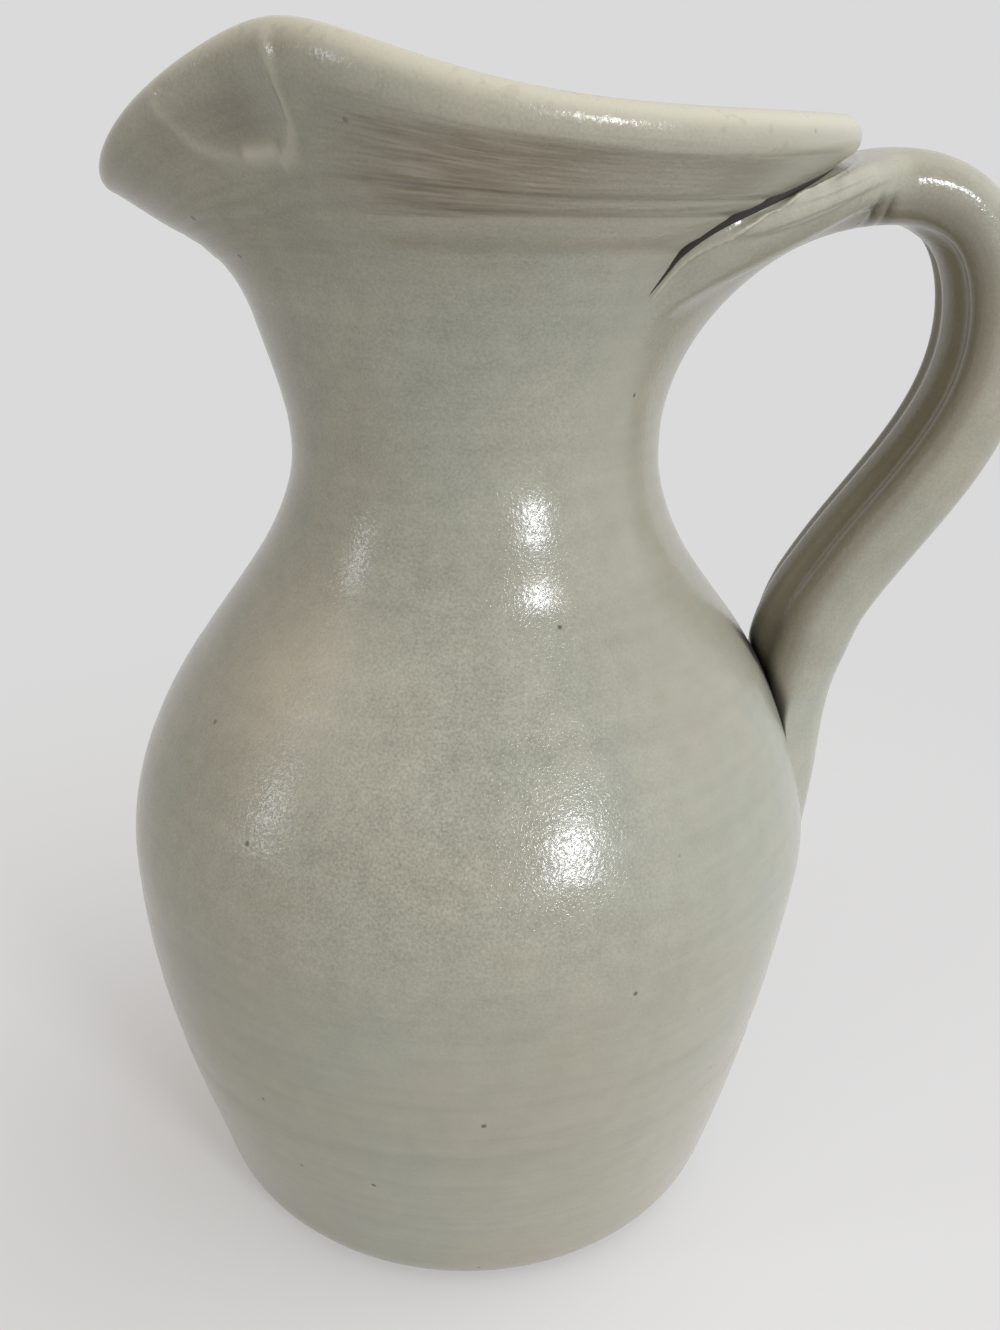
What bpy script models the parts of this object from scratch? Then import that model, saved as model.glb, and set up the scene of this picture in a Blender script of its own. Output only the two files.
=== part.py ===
"""Salt-glazed stoneware pitcher: a thrown body with a pulled spout, and a pulled handle luted on with slip.

Metres, +Z up. The origin is the centre of the flat foot, the spout points to -X and the handle to +X.
"""

import math

import bmesh
import bpy
from mathutils import Vector
from mathutils.geometry import interpolate_bezier

# Thrown body: radii are of the outer wall, heights are above the foot and drops are below the rim
FOOT_RADIUS = 0.0415
HEEL_RADIUS = 0.0520
HEEL_HEIGHT = 0.0085
BELLY_RADIUS = 0.0642
BELLY_HEIGHT = 0.0750
RIM_RADIUS = 0.0590
RIM_HEIGHT = 0.2000
NECK_RADIUS = 0.0316
NECK_DROP = 0.0540
NECK_HEIGHT = RIM_HEIGHT - NECK_DROP
COLLAR_INSET = 0.0110
COLLAR_DROP = 0.0140
COLLAR_RADIUS = RIM_RADIUS - COLLAR_INSET
COLLAR_HEIGHT = RIM_HEIGHT - COLLAR_DROP
LIP_FACE = 0.0062
LIP_THICKNESS = 0.0072
LIP_ROUND = 0.0024
LIP_UNDERCUT = math.radians(60.0)
COLLAR_GROOVE_DEPTH = 0.0006
COLLAR_GROOVE_WIDTH = 0.0020
WALL = 0.0055
FLOOR = 0.0080
FLOOR_ROUND = 0.0110

# How full the curves between those stations are: lengths of their tangents
HEEL_RUN = 0.0180
LOWER_BELLY_RUN = 0.0260
UPPER_BELLY_RUN = 0.0290
LOWER_NECK_RUN = 0.0210
UPPER_NECK_RUN = 0.0170
COLLAR_RUN = 0.0130
HEEL_LEAN = math.radians(14.5)
COLLAR_LEAN = math.radians(50.0)

# Tangents of the other curves, as shares of the distance that they span: a quarter round and a slower bend
QUARTER_ROUND = 0.55
SLOW_BEND = 0.40

# Pulled spout: angles are measured round the rim from the spout's middle
SPOUT_DEPTH = 0.0320
SPOUT_ROOT_HEIGHT = RIM_HEIGHT - SPOUT_DEPTH
SPOUT_REACH = 0.0006
SPOUT_REACH_ANGLE = math.radians(27.0)
PINCH_DEPTH = 0.0075
PINCH_ANGLE = math.radians(47.0)
PINCH_SPREAD = math.radians(22.5)
SHOULDER_RISE = 0.0094
SHOULDER_DEPTH = 0.0170
SHOULDER_ANGLE = math.radians(55.0)
SHOULDER_SPREAD = math.radians(30.0)
TIP_DROP = 0.0091
TIP_DROP_ANGLE = math.radians(26.0)
THROAT_FULLNESS = 0.0018
THROAT_DROP = 0.0350
THROAT_HEIGHT = RIM_HEIGHT - THROAT_DROP
THROAT_SPREAD = 0.0133
THROAT_ANGLE = math.radians(40.0)

# Pulled handle: a strap that leaves the neck under the lip and lands on the belly
STRAP_WIDTH = 0.0224
STRAP_OUTER_CROWN = 0.0046
STRAP_INNER_CROWN = 0.0073
ELBOW_OUTER_CROWN = 0.0117
ELBOW_INNER_CROWN = 0.0060
FINGER_GROOVE_DEPTH = 0.0011
FINGER_GROOVE_OFFSET = 0.0052
FINGER_GROOVE_WIDTH = 0.0022
ROOT_START = 0.0100
ROOT_WIDTH = 0.0640
ROOT_DEPTH = 0.0330
ROOT_SWEEP = 2.7
ROOT_TAPER = 1.0
ROOT_DROP = 0.0150
ROOT_FLARE = 0.0280
CREST_OUT = 0.0099
CREST_DROP = 0.0090
HANDLE_OUT = 0.0278
HANDLE_DROP = 0.0328
ELBOW_HEIGHT = 0.1190
ELBOW_CLEARANCE = 0.0183
ELBOW_LEAN = math.radians(27.0)
ELBOW_RUN = 0.0284
LANDING_HEIGHT = 0.0540
LANDING_WIDTH = 0.0160
LANDING_CROWN = 0.0043
LANDING_BURY = 0.0024
LANDING_DIVE = math.radians(5.3)

# Luting slip in the two handle joints, and the fit between neighbours
SLIP_THICKNESS = 0.0010
FIT_GAP = 0.0003

# Facets
SEGMENTS = 72
OUTER_STEPS = 7
INNER_STEPS = 5
FLOOR_STEPS = 4
LIP_STEPS = 2
STRAP_SIDES = 28
STRAP_STEPS = 12
STRAP_SPANS = 4
MERGE_DISTANCE = 0.000001

GLAZE_COLOUR = (0.35, 0.335, 0.275, 1.0)
HANDLE_COLOUR = (0.34, 0.32, 0.255, 1.0)
SLIP_COLOUR = (0.30, 0.27, 0.21, 1.0)
GLAZE_ROUGHNESS = 0.30
SLIP_ROUGHNESS = 0.60


def clear_scene():
    for item in list(bpy.data.objects):
        bpy.data.objects.remove(item, do_unlink=True)


def make_material(name, colour, roughness):
    material = bpy.data.materials.new(name)
    material.use_nodes = True
    shader = material.node_tree.nodes["Principled BSDF"]
    shader.inputs["Base Color"].default_value = colour
    shader.inputs["Roughness"].default_value = roughness
    shader.inputs["Metallic"].default_value = 0.0
    return material


def make_object(name, bm, material=None):
    bmesh.ops.recalc_face_normals(bm, faces=bm.faces)
    mesh = bpy.data.meshes.new(name)
    bm.to_mesh(mesh)
    bm.free()
    mesh.shade_smooth()
    item = bpy.data.objects.new(name, mesh)
    bpy.context.scene.collection.objects.link(item)
    if material:
        mesh.materials.append(material)
    return item


def smoothstep(value, low, high):
    share = min(1.0, max(0.0, (value - low) / (high - low)))
    return share * share * (3.0 - 2.0 * share)


def bell(value, centre, spread):
    return math.exp(-(((value - centre) / spread) ** 2))


def curve(start, start_tangent, end, end_tangent, steps):
    """Points of a Bezier curve between two points, without its first. Tangents lead along the curve."""
    first_handle = start + Vector(start_tangent)
    last_handle = end - Vector(end_tangent)
    knots = [point.to_3d() for point in (start, first_handle, last_handle, end)]
    return [point.to_2d() for point in interpolate_bezier(*knots, steps + 1)[1:]]


def leaning(angle, length):
    """A tangent that leans out from the vertical by the angle."""
    return Vector((math.sin(angle) * length, math.cos(angle) * length))


def wall_outline(steps):
    """Outer side of the wall as (radius, height), from the edge of the foot up to the collar."""
    foot = Vector((FOOT_RADIUS, 0.0))
    heel = Vector((HEEL_RADIUS, HEEL_HEIGHT))
    belly = Vector((BELLY_RADIUS, BELLY_HEIGHT))
    neck = Vector((NECK_RADIUS, NECK_HEIGHT))
    collar = Vector((COLLAR_RADIUS, COLLAR_HEIGHT))
    foot_run = ((HEEL_RADIUS - FOOT_RADIUS) * QUARTER_ROUND, 0.0)
    points = [foot]
    points += curve(foot, foot_run, heel, leaning(HEEL_LEAN, HEEL_HEIGHT * QUARTER_ROUND), steps)
    points += curve(heel, leaning(HEEL_LEAN, HEEL_RUN), belly, (0.0, LOWER_BELLY_RUN), steps)
    points += curve(belly, (0.0, UPPER_BELLY_RUN), neck, (0.0, LOWER_NECK_RUN), steps)
    points += curve(neck, (0.0, UPPER_NECK_RUN), collar, leaning(COLLAR_LEAN, COLLAR_RUN), steps)
    return points


def arc(centre, radius, first, last, steps):
    angles = [first + (last - first) * step / steps for step in range(steps + 1)]
    return [Vector((centre[0] + radius * math.cos(a), centre[1] + radius * math.sin(a))) for a in angles]


def collar_groove():
    """The turned line on the collar, as two points past the collar's edge: its bottom and far side."""
    along = leaning(COLLAR_LEAN, COLLAR_GROOVE_WIDTH)
    inward = Vector((-along.y, along.x)).normalized() * COLLAR_GROOVE_DEPTH
    collar = Vector((COLLAR_RADIUS, COLLAR_HEIGHT))
    return [collar + along / 2 + inward, collar + along]


def outer_lip():
    """Outer side of the thick rounded lip, from the cove below it up to its top."""
    middle = RIM_RADIUS - LIP_ROUND
    low = RIM_HEIGHT - LIP_FACE + LIP_ROUND
    high = RIM_HEIGHT - LIP_ROUND
    under = arc((middle, low), LIP_ROUND, -LIP_UNDERCUT, 0.0, LIP_STEPS)
    return under + arc((middle, high), LIP_ROUND, 0.0, math.pi / 2, LIP_STEPS)


def inner_lip():
    """The lip's rounding from its top down to its inner edge."""
    middle = RIM_RADIUS - LIP_THICKNESS + LIP_ROUND
    return arc((middle, RIM_HEIGHT - LIP_ROUND), LIP_ROUND, math.pi / 2, math.pi, LIP_STEPS)


def offset_outline(points, distance):
    """The outline moved sideways, outward for a positive distance. It runs from the foot upward."""
    moved = []
    for index, point in enumerate(points):
        along = points[min(index + 1, len(points) - 1)] - points[max(index - 1, 0)]
        normal = Vector((along.y, -along.x)).normalized()
        moved.append(point + normal * distance)
    return moved


def inner_outline():
    """Inner side of the wall from the collar down to the edge of the floor."""
    lowest = FLOOR + FLOOR_ROUND
    inside = [point for point in offset_outline(wall_outline(INNER_STEPS), -WALL) if point.y > lowest]
    inside.reverse()
    floor_edge = Vector((inside[-1].x - FLOOR_ROUND, FLOOR))
    run = FLOOR_ROUND * QUARTER_ROUND
    return inside + curve(inside[-1], (0.0, -run), floor_edge, (-run, 0.0), FLOOR_STEPS)


def outer_radius(height):
    """Radius of the thrown wall at a height."""
    points = wall_outline(OUTER_STEPS)
    for below, above in zip(points, points[1:]):
        if below.y <= height < above.y:
            return below.lerp(above, (height - below.y) / (above.y - below.y)).x
    return points[-1].x


def pull_spout(point):
    """Moves a point of the turned shape to where the pulled spout takes it."""
    radius = math.hypot(point.x, point.y)
    if point.z < BELLY_HEIGHT or radius == 0.0:
        return point
    pull = smoothstep(point.z, SPOUT_ROOT_HEIGHT, RIM_HEIGHT)
    lift = smoothstep(point.z, RIM_HEIGHT - SHOULDER_DEPTH, RIM_HEIGHT)
    angle = math.atan2(point.y, -point.x)
    pinch = PINCH_DEPTH * bell(abs(angle), PINCH_ANGLE, PINCH_SPREAD)
    throat = THROAT_FULLNESS * bell(angle, 0.0, THROAT_ANGLE) * bell(point.z, THROAT_HEIGHT, THROAT_SPREAD)
    out = (SPOUT_REACH * bell(angle, 0.0, SPOUT_REACH_ANGLE) - pinch) * pull + throat
    up = SHOULDER_RISE * bell(abs(angle), SHOULDER_ANGLE, SHOULDER_SPREAD) * lift
    up -= TIP_DROP * bell(angle, 0.0, TIP_DROP_ANGLE) * pull
    stretch = (radius + out) / radius
    return Vector((point.x * stretch, point.y * stretch, point.z + up))


def turned(outline):
    """Spins an outline of (radius, height) that starts and ends on the axis, and pulls the spout."""
    bm = bmesh.new()
    verts = [bm.verts.new((point.x, 0.0, point.y)) for point in outline]
    edges = [bm.edges.new(pair) for pair in zip(verts, verts[1:])]
    bmesh.ops.spin(bm, geom=verts + edges, axis=(0.0, 0.0, 1.0), cent=(0.0, 0.0, 0.0),
                   angle=math.tau, steps=SEGMENTS, use_merge=True)
    bmesh.ops.remove_doubles(bm, verts=bm.verts, dist=MERGE_DISTANCE)
    for vert in bm.verts:
        vert.co = pull_spout(vert.co)
    return bm


def make_thrown_body(material):
    outline = [Vector((0.0, 0.0))] + wall_outline(OUTER_STEPS) + collar_groove()
    outline += outer_lip() + inner_lip() + inner_outline() + [Vector((0.0, FLOOR))]
    return make_object("thrown_body", turned(outline), material)


def grown_skin(distance):
    """The outer side of the body up to the top of the lip, without the groove, moved out by a distance."""
    return offset_outline(wall_outline(OUTER_STEPS) + outer_lip(), distance)


def make_cutter(name, outline):
    item = make_object(name, turned(outline))
    item.hide_render = True
    item.display_type = "WIRE"
    return item


def make_handle_fit():
    """The body as if it were full, grown by the slip and its gaps: what the handle's ends are cut to."""
    distance = FIT_GAP * 2 + SLIP_THICKNESS
    outline = [Vector((0.0, -distance))] + grown_skin(distance) + [Vector((0.0, RIM_HEIGHT + distance))]
    return make_cutter("handle_fit", outline)


def make_slip_shell():
    """The space that the slip fills, as a sleeve all round the body."""
    outer = grown_skin(FIT_GAP + SLIP_THICKNESS)
    inner = grown_skin(FIT_GAP)
    return make_cutter("slip_shell", outer + inner[::-1] + outer[:1])


def landing_path():
    """The strap's middle from the elbow down, closing in on the wall: a curve of (clearance, height) laid along it."""
    elbow = Vector((ELBOW_CLEARANCE, ELBOW_HEIGHT))
    landing = Vector((-LANDING_BURY, LANDING_HEIGHT))
    approach = -leaning(ELBOW_LEAN, ELBOW_RUN)
    approach.x += outer_radius(ELBOW_HEIGHT) - outer_radius(ELBOW_HEIGHT + approach.y)
    dive = -leaning(LANDING_DIVE, (ELBOW_HEIGHT - LANDING_HEIGHT) * SLOW_BEND)
    closing = curve(elbow, approach, landing, dive, STRAP_STEPS)
    return [Vector((outer_radius(point.y) + point.x, point.y)) for point in closing]


def handle_path():
    """The middle of the strap in the XZ plane, from inside the neck to inside the belly."""
    root = Vector((ROOT_START, RIM_HEIGHT - ROOT_DROP))
    crest = Vector((RIM_RADIUS + CREST_OUT, RIM_HEIGHT - CREST_DROP))
    outermost = Vector((RIM_RADIUS + HANDLE_OUT, RIM_HEIGHT - HANDLE_DROP))
    elbow = Vector((outer_radius(ELBOW_HEIGHT) + ELBOW_CLEARANCE, ELBOW_HEIGHT))
    rise = crest.y - root.y
    bend = Vector((outermost.x - crest.x, crest.y - outermost.y)) * QUARTER_ROUND
    fall = (outermost.y - elbow.y) * SLOW_BEND
    root_run = ((crest.x - root.x) * SLOW_BEND, rise * QUARTER_ROUND)
    points = [root]
    points += curve(root, root_run, crest, (bend.x, 0.0), STRAP_STEPS)
    points += curve(crest, (bend.x, 0.0), outermost, (0.0, -bend.y), STRAP_STEPS)
    points += curve(outermost, (0.0, -fall), elbow, -leaning(ELBOW_LEAN, fall), STRAP_STEPS)
    return points + landing_path()


def strap_section(index, point):
    """Half width, outer crown, inner crown, inner taper and groove depth at a point of the strap's path."""
    crest_x = RIM_RADIUS + CREST_OUT
    root = max(0.0, crest_x - point.x) if index < STRAP_STEPS else 0.0
    fan = smoothstep(root, 0.0, ROOT_FLARE)
    apron = min(1.0, root / (crest_x - NECK_RADIUS)) ** ROOT_SWEEP
    swell = smoothstep(index, STRAP_STEPS, STRAP_STEPS * 3)
    landing = smoothstep(index, STRAP_STEPS * 3, STRAP_STEPS * STRAP_SPANS)
    width = STRAP_WIDTH + (ROOT_WIDTH - STRAP_WIDTH) * fan + (LANDING_WIDTH - STRAP_WIDTH) * landing
    outer = STRAP_OUTER_CROWN + (ELBOW_OUTER_CROWN - STRAP_OUTER_CROWN) * swell
    outer += (LANDING_CROWN - ELBOW_OUTER_CROWN) * landing
    inner = STRAP_INNER_CROWN + (ELBOW_INNER_CROWN - STRAP_INNER_CROWN) * swell
    inner += (ROOT_DEPTH - STRAP_INNER_CROWN) * apron
    groove = FINGER_GROOVE_DEPTH * swell * (1.0 - landing)
    return width / 2, outer, inner, 1.0 + ROOT_TAPER * apron, groove


def strap_ring(bm, path, index):
    """One cross-section of the strap: rounded, with two finger grooves along its inner face."""
    along = (path[min(index + 1, len(path) - 1)] - path[max(index - 1, 0)]).normalized()
    outward = Vector((-along.y, 0.0, along.x))
    middle = Vector((path[index].x, 0.0, path[index].y))
    half_width, outer, inner, taper, groove = strap_section(index, path[index])
    ring = []
    for side in range(STRAP_SIDES):
        angle = math.tau * (side + 0.5) / STRAP_SIDES
        across = half_width * math.cos(angle)
        height = outer * math.sin(angle)
        if math.sin(angle) < 0.0:
            across *= abs(math.cos(angle)) ** (taper - 1.0)
            height = inner * math.sin(angle)
            height += groove * bell(abs(across), FINGER_GROOVE_OFFSET, FINGER_GROOVE_WIDTH)
        ring.append(bm.verts.new(middle + outward * height + Vector((0.0, across, 0.0))))
    return ring


def make_strap(name, first, last, material):
    """A closed length of the strap between two steps of its path."""
    path = handle_path()
    bm = bmesh.new()
    rings = [strap_ring(bm, path, index) for index in range(first, last + 1)]
    loops = [[bm.edges.new(pair) for pair in zip(ring, ring[1:] + ring[:1])] for ring in rings]
    for pair in zip(loops, loops[1:]):
        bmesh.ops.bridge_loops(bm, edges=pair[0] + pair[1])
    bm.faces.new(rings[0])
    bm.faces.new(rings[-1])
    return make_object(name, bm, material)


def cut(item, cutter, operation):
    modifier = item.modifiers.new(cutter.name, "BOOLEAN")
    modifier.object = cutter
    modifier.operation = operation


def main():
    clear_scene()
    glaze = make_material("salt_glaze", GLAZE_COLOUR, GLAZE_ROUGHNESS)
    handle_glaze = make_material("salt_glaze_handle", HANDLE_COLOUR, GLAZE_ROUGHNESS)
    slip = make_material("luting_slip", SLIP_COLOUR, SLIP_ROUGHNESS)
    handle_fit = make_handle_fit()
    slip_shell = make_slip_shell()
    last = STRAP_STEPS * STRAP_SPANS

    make_thrown_body(glaze)
    handle = make_strap("handle", 0, last, handle_glaze)
    cut(handle, handle_fit, "DIFFERENCE")
    joints = {"upper_joint_slip": (0, STRAP_STEPS), "lower_joint_slip": (last - STRAP_STEPS, last)}
    for name, (first, end) in joints.items():
        layer = make_strap(name, first, end, slip)
        cut(layer, slip_shell, "INTERSECT")


main()
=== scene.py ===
"""Salt-glazed stoneware pitcher, dressed for the camera: thrown body, pulled handle, joint slip and stage.

Metres, +Z up. The origin is the centre of the foot, the spout points to -X and the handle to +X.
"""

import math

import bpy
import numpy as np
from bpy.props import FloatProperty, FloatVectorProperty, PointerProperty
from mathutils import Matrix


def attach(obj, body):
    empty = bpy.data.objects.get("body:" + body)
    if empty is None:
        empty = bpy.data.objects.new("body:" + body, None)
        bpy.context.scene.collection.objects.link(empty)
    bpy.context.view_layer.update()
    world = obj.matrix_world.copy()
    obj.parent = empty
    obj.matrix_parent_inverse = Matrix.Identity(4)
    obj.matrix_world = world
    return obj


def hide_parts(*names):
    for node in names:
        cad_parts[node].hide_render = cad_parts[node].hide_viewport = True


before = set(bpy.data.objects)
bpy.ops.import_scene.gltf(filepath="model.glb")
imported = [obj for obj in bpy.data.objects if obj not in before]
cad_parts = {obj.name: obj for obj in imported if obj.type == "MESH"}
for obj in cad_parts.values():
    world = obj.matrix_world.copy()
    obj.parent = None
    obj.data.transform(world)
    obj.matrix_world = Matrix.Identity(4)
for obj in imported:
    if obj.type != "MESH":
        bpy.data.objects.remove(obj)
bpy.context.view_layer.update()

bl_info = {
    "name": "Salt-glazed pitcher",
    "version": (1, 0, 0),
    "blender": (4, 5, 0),
    "location": "3D View > Sidebar > Pitcher",
    "description": "Dresses the frame of a stoneware pitcher: thrown body, pulled handle and joint slip",
    "category": "Mesh",
}

# Facets
TURN_SEGMENTS = 384
HEEL_STEPS = 8
LOWER_BELLY_STEPS = 44
SHOULDER_STEPS = 54
NECK_STEPS = 34
COVE_STEPS = 34
LIP_STEPS = 18
INNER_LIP_STEPS = 6
INNER_STEPS = 9
FLOOR_STEPS = 8
STRAP_SIDES = 128
SKIRT_STEPS = 110
SKIRT_CROWDING = 1.4
STRAP_STEPS = 60
SEAM_SIDES = 12
SEAM_STEPS = 120
MERGE_DISTANCE = 1e-7
SPIN_MERGE_DISTANCE = 2e-6
TINY = 1e-12

# Tangents of curves, as shares of the distance that they span: a quarter round and a slower bend
QUARTER_ROUND = 0.55
SLOW_BEND = 0.40

# Curves of the thrown wall: lengths of their tangents, and how they lean
HEEL_RUN = 0.0180
LOWER_BELLY_RUN = 0.0260
UPPER_BELLY_RUN = 0.0290
LOWER_NECK_RUN = 0.0210
UPPER_NECK_RUN = 0.0170
COLLAR_RUN = 0.0130
COVE_RUN = 0.0040
HEEL_LEAN = math.radians(14.5)
COLLAR_LEAN = math.radians(50.0)
COVE_LEAN = math.radians(54.0)
LIP_UNDERCUT = math.radians(-64.0)
FLOOR_ROUND = 0.0110

# Throwing rings on the belly and neck: height, relief (below zero for a groove) and spread
THROWING_RINGS = (
    (0.0285, -0.00004, 0.0016),
    (0.0405, -0.00016, 0.0018),
    (0.0538, -0.00009, 0.0012),
    (0.0691, -0.00009, 0.0011),
    (0.0950, -0.00009, 0.0010),
    (0.1102, -0.00014, 0.0008),
    (0.1275, -0.00005, 0.0014),
    (0.1400, -0.00006, 0.0006),
    (0.1515, -0.00005, 0.0012),
    (0.1690, -0.00005, 0.0011),
)
# Turned lines under the lip, in the same terms
COLLAR_LINES = (
    (0.1822, -0.00022, 0.0008),
    (0.1838, 0.00030, 0.0010),
    (0.1866, -0.00045, 0.0005),
    (0.1888, -0.00036, 0.0004),
)
LINE_DIP = 0.0036
LINE_DIP_ANGLES = (math.radians(20.0), math.radians(66.0))
LINE_FADE_ANGLES = (math.radians(50.0), math.radians(85.0))
SPOUT_LINE_DEPTH = 0.55
# Paler, pinker patch on the shoulder, below the spout's near side
PALE_PATCH_HEIGHT = 0.1155
PALE_PATCH_TALL = 0.0120
PALE_PATCH_TURN = math.radians(-131.0)
PALE_PATCH_ANGLE = math.radians(20.0)
# Where the salt left its strongest grain, as turns to either side of the handle
GRAINY_HEIGHT = 0.1050
GRAINY_TALL = 0.0260
GRAINY_TURN = math.radians(100.0)
GRAINY_ANGLE = math.radians(28.0)
GRAINY_SIDES = (math.radians(45.0), math.radians(75.0))
GRAINY_FOOT = (0.0550, 0.0950)
GRAINY_LEAST = 0.45
# Browner glaze under the spout
STAIN_ANGLES = (math.radians(48.0), math.radians(75.0))
STAIN_FOOT = (0.1720, 0.1820)
STAIN_TOP = (0.1930, 0.1970)
# Brushed band under the lip: where it starts beside the spout, and how it fades towards the handle
BESIDE_ANGLES = (math.radians(56.0), math.radians(78.0))
COVE_FADE_ANGLES = (math.radians(82.0), math.radians(122.0))
COVE_FADE = 0.80
# Depth at which a groove counts as fully cut, and heights over which the bare foot ends
DEEP_CUT = 0.0003
BARE_HEIGHTS = (0.0003, 0.0016)
# Where the glaze of the inside ends and the lip's edge starts, in lip roundings below the rim
LIP_INSIDE = (2.05, 1.5)
LIP_EDGE = (1.0, 0.2)
# How the throwing rings wander, and how far the wall is out of round
RING_WOBBLE = 0.00045
RING_PHASES = (0.6, 2.0)
OUT_OF_ROUND = 0.0013
OUT_OF_ROUND_TURN = math.radians(65.0)
OUT_OF_ROUND_FOOT = (0.0100, 0.0500)
OUT_OF_ROUND_TOP = (0.0750, 0.1100)
# Fuller places: rise, height, spread up and down, turn from the handle and spread round.
# They are the shoulder under the handle, the belly under its tongue, and the neck: all round, and near.
FULLER_PLACES = (
    (0.00110, 0.1120, 0.0110, 0.0, math.radians(42.0)),
    (0.00100, 0.0735, 0.0090, 0.0, math.radians(32.0)),
    (0.00030, 0.1392, 0.0080, 0.0, math.inf),
    (0.00165, 0.1392, 0.0080, math.radians(-80.0), math.radians(40.0)),
)
# Finger rings inside the wall
INNER_RING_RELIEF = 0.00030
INNER_RING_PITCH = 0.0085
INNER_RING_FOOT = (0.0200, 0.0400)
INNER_RING_TOP = (0.1500, 0.1700)

# Spreads of the pulled spout, measured round the rim from the spout's middle
REACH_SPREAD = math.radians(27.0)
PINCH_ANGLE = math.radians(47.0)
PINCH_SPREAD = math.radians(22.5)
SHOULDER_ANGLE = math.radians(55.0)
SHOULDER_SPREAD = math.radians(30.0)
TIP_SPREAD = math.radians(26.0)
THROAT_ANGLE = math.radians(40.0)
THROAT_SPREAD = 0.0133
# Thumb marks on the spout's flanks, as (angle, height) before the pull
THUMB_ANGLE = math.radians(45.5)
THUMB_HEIGHT = 0.1934
THUMB_SPREAD = math.radians(9.0)
THUMB_TALL = 0.0036
# Ridges of clay that the thumb pushed up: relief, then points as (angle in degrees, height)
THUMB_RIDGES = (
    (0.00060, ((56.2, 0.1980), (58.0, 0.1954), (58.2, 0.1935), (57.8, 0.1916), (56.2, 0.1901),
               (53.7, 0.1896))),
    (0.00034, ((32.0, 0.1974), (33.7, 0.1939), (34.5, 0.1921), (38.0, 0.1906), (43.0, 0.1899))),
    (0.00080, ((44.5, 0.1901), (48.0, 0.1900), (52.0, 0.1901))),
)
THUMB_RIDGE_SPREAD = 0.00075
FAR_THUMB = 0.6

# Steps along the strap: 0 at its crest, 1 where it is outermost, 2 at its elbow and 3 at its end
SWELL_STEPS = (0.0, 2.0)
LANDING_STEPS = (2.0, 3.0)
GROOVE_STEPS = (0.0, 0.6)
# Values named for sides are sines of the angle round the strap, below zero on its inner face
GROOVE_SIDES = (0.0, 0.5)
# Handle: how the pulled strap runs
CREST_OUT = 0.0099
CREST_DROP = 0.0090
HANDLE_OUT = 0.0285
CREST_BEND = 0.64
HANDLE_DROP = 0.0328
ELBOW_HEIGHT = 0.1190
ELBOW_CLEARANCE = 0.0183
ELBOW_LEAN = math.radians(27.0)
ELBOW_RUN = 0.0284
LANDING_HEIGHT = 0.0540
LANDING_WIDTH = 0.0150
LANDING_CROWN = 0.0029
LANDING_BURY = 0.0024
LANDING_DIVE = math.radians(5.3)
LANDING_FILLET = 0.0016
SETTLE_HEIGHTS = (0.1150, 0.1230)
# Where the tongue's flanks are wiped down onto the belly, and how it runs out
WIPE_START = 0.1105
WIPE_FULL = 0.0925
WIPE_FLARE = 0.0042
WIPE_POWER = 1.05
WIPE_DEPTH = 0.0015
RUN_OUT_START = 2.55
RUN_OUT_END = 2.97
TIP_ROUND_START = 2.60
TIP_ROUND = 0.90
# Footprint of the fanned root on the neck
ROOT_HEIGHT = 0.1800
ROOT_TOP = 0.0135
ROOT_BOTTOM = 0.0310
ROOT_ANGLE = math.radians(52.0)
ROOT_LOW_ANGLE = math.radians(58.0)
ROOT_UPPER_POWER = 1.145
ROOT_LOWER_POWER = 1.15
ROOT_LOW_SIDES = (0.0, 0.35)
ROOT_SINK = 0.0016
ROOT_MIDDLE = 0.1720
BED_DEPTH = 0.0026
BED_STEPS = 8
BED_START = 0.05
FILM_SINK = 0.00006
# Crisp edge where the root's flat top turns down, at a distance from the upper joint
EDGE_RISE = 0.00110
EDGE_DISTANCE = 0.0046
EDGE_SPREAD = 0.0009
EDGE_POWER = 1.4
EDGE_SIDES = (-0.30, -0.08)
EDGE_AWAY_SIDES = (-0.10, 0.40)
EDGE_TOP_SIDES = (0.60, 0.85)
EDGE_TOP_FADE = 0.85
# Swelling of the strap's inner face under the crest, and how far its edges stand out above the landing
UNDER_CREST_SWELL = 0.0004
UNDER_CREST_STEP = 0.30
UNDER_CREST_SPREAD = 0.20
HEEL_SHIFT = 0.0030
HEEL_STEP = 2.28
HEEL_SPREAD = 0.20
HEEL_SWELL = 0.0010
HEEL_SWELL_STEP = 2.15
HEEL_SWELL_SPREAD = 0.13
# How square the strap is near its crest: powers of its width and its crown
SQUARE_WIDTH = 0.70
SQUARE_CROWN = 0.90
SQUARE_STEPS = (1.0, 2.0)
SQUARE_TAPER = 0.09
# Painted shade in the dark wedge between the strap and the belly: gaps that it fills, and where it starts
# and ends
WEDGE_GAPS = (0.0010, 0.0042)
WEDGE_FOOT = (0.0900, 0.0960)
WEDGE_TOP = (0.1120, 0.1180)
WEDGE_HALF = (0.0085, 0.0120)
WEDGE_SIDES = (-0.05, 0.25)
# Wrinkled clay on the crest beside the joint, and two creases on the strap's near edge
WRINKLE_PLACE = (0.0575, 0.0160, 0.1910)
WRINKLE_SPREAD = 0.0062
CREASE_PLACES = (0.0620, 0.0647)
CREASE_HEIGHT = 0.1860
CREASE_DEPTH = 0.00050
CREASE_WIDTH = 0.00060
CREASE_TALL = 0.0021
CREASE_EDGE = (0.0020, 0.0060)
# Where the strap's inner face browns and is darkened with painted shade, and where its crest is creamy
UNDER_START = 0.35
UNDER_SIDES = (0.02, 0.50)
CREAM_SIDES = (0.0, 0.8)
CREAM_HEIGHTS = (0.1500, 0.1880)
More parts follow.
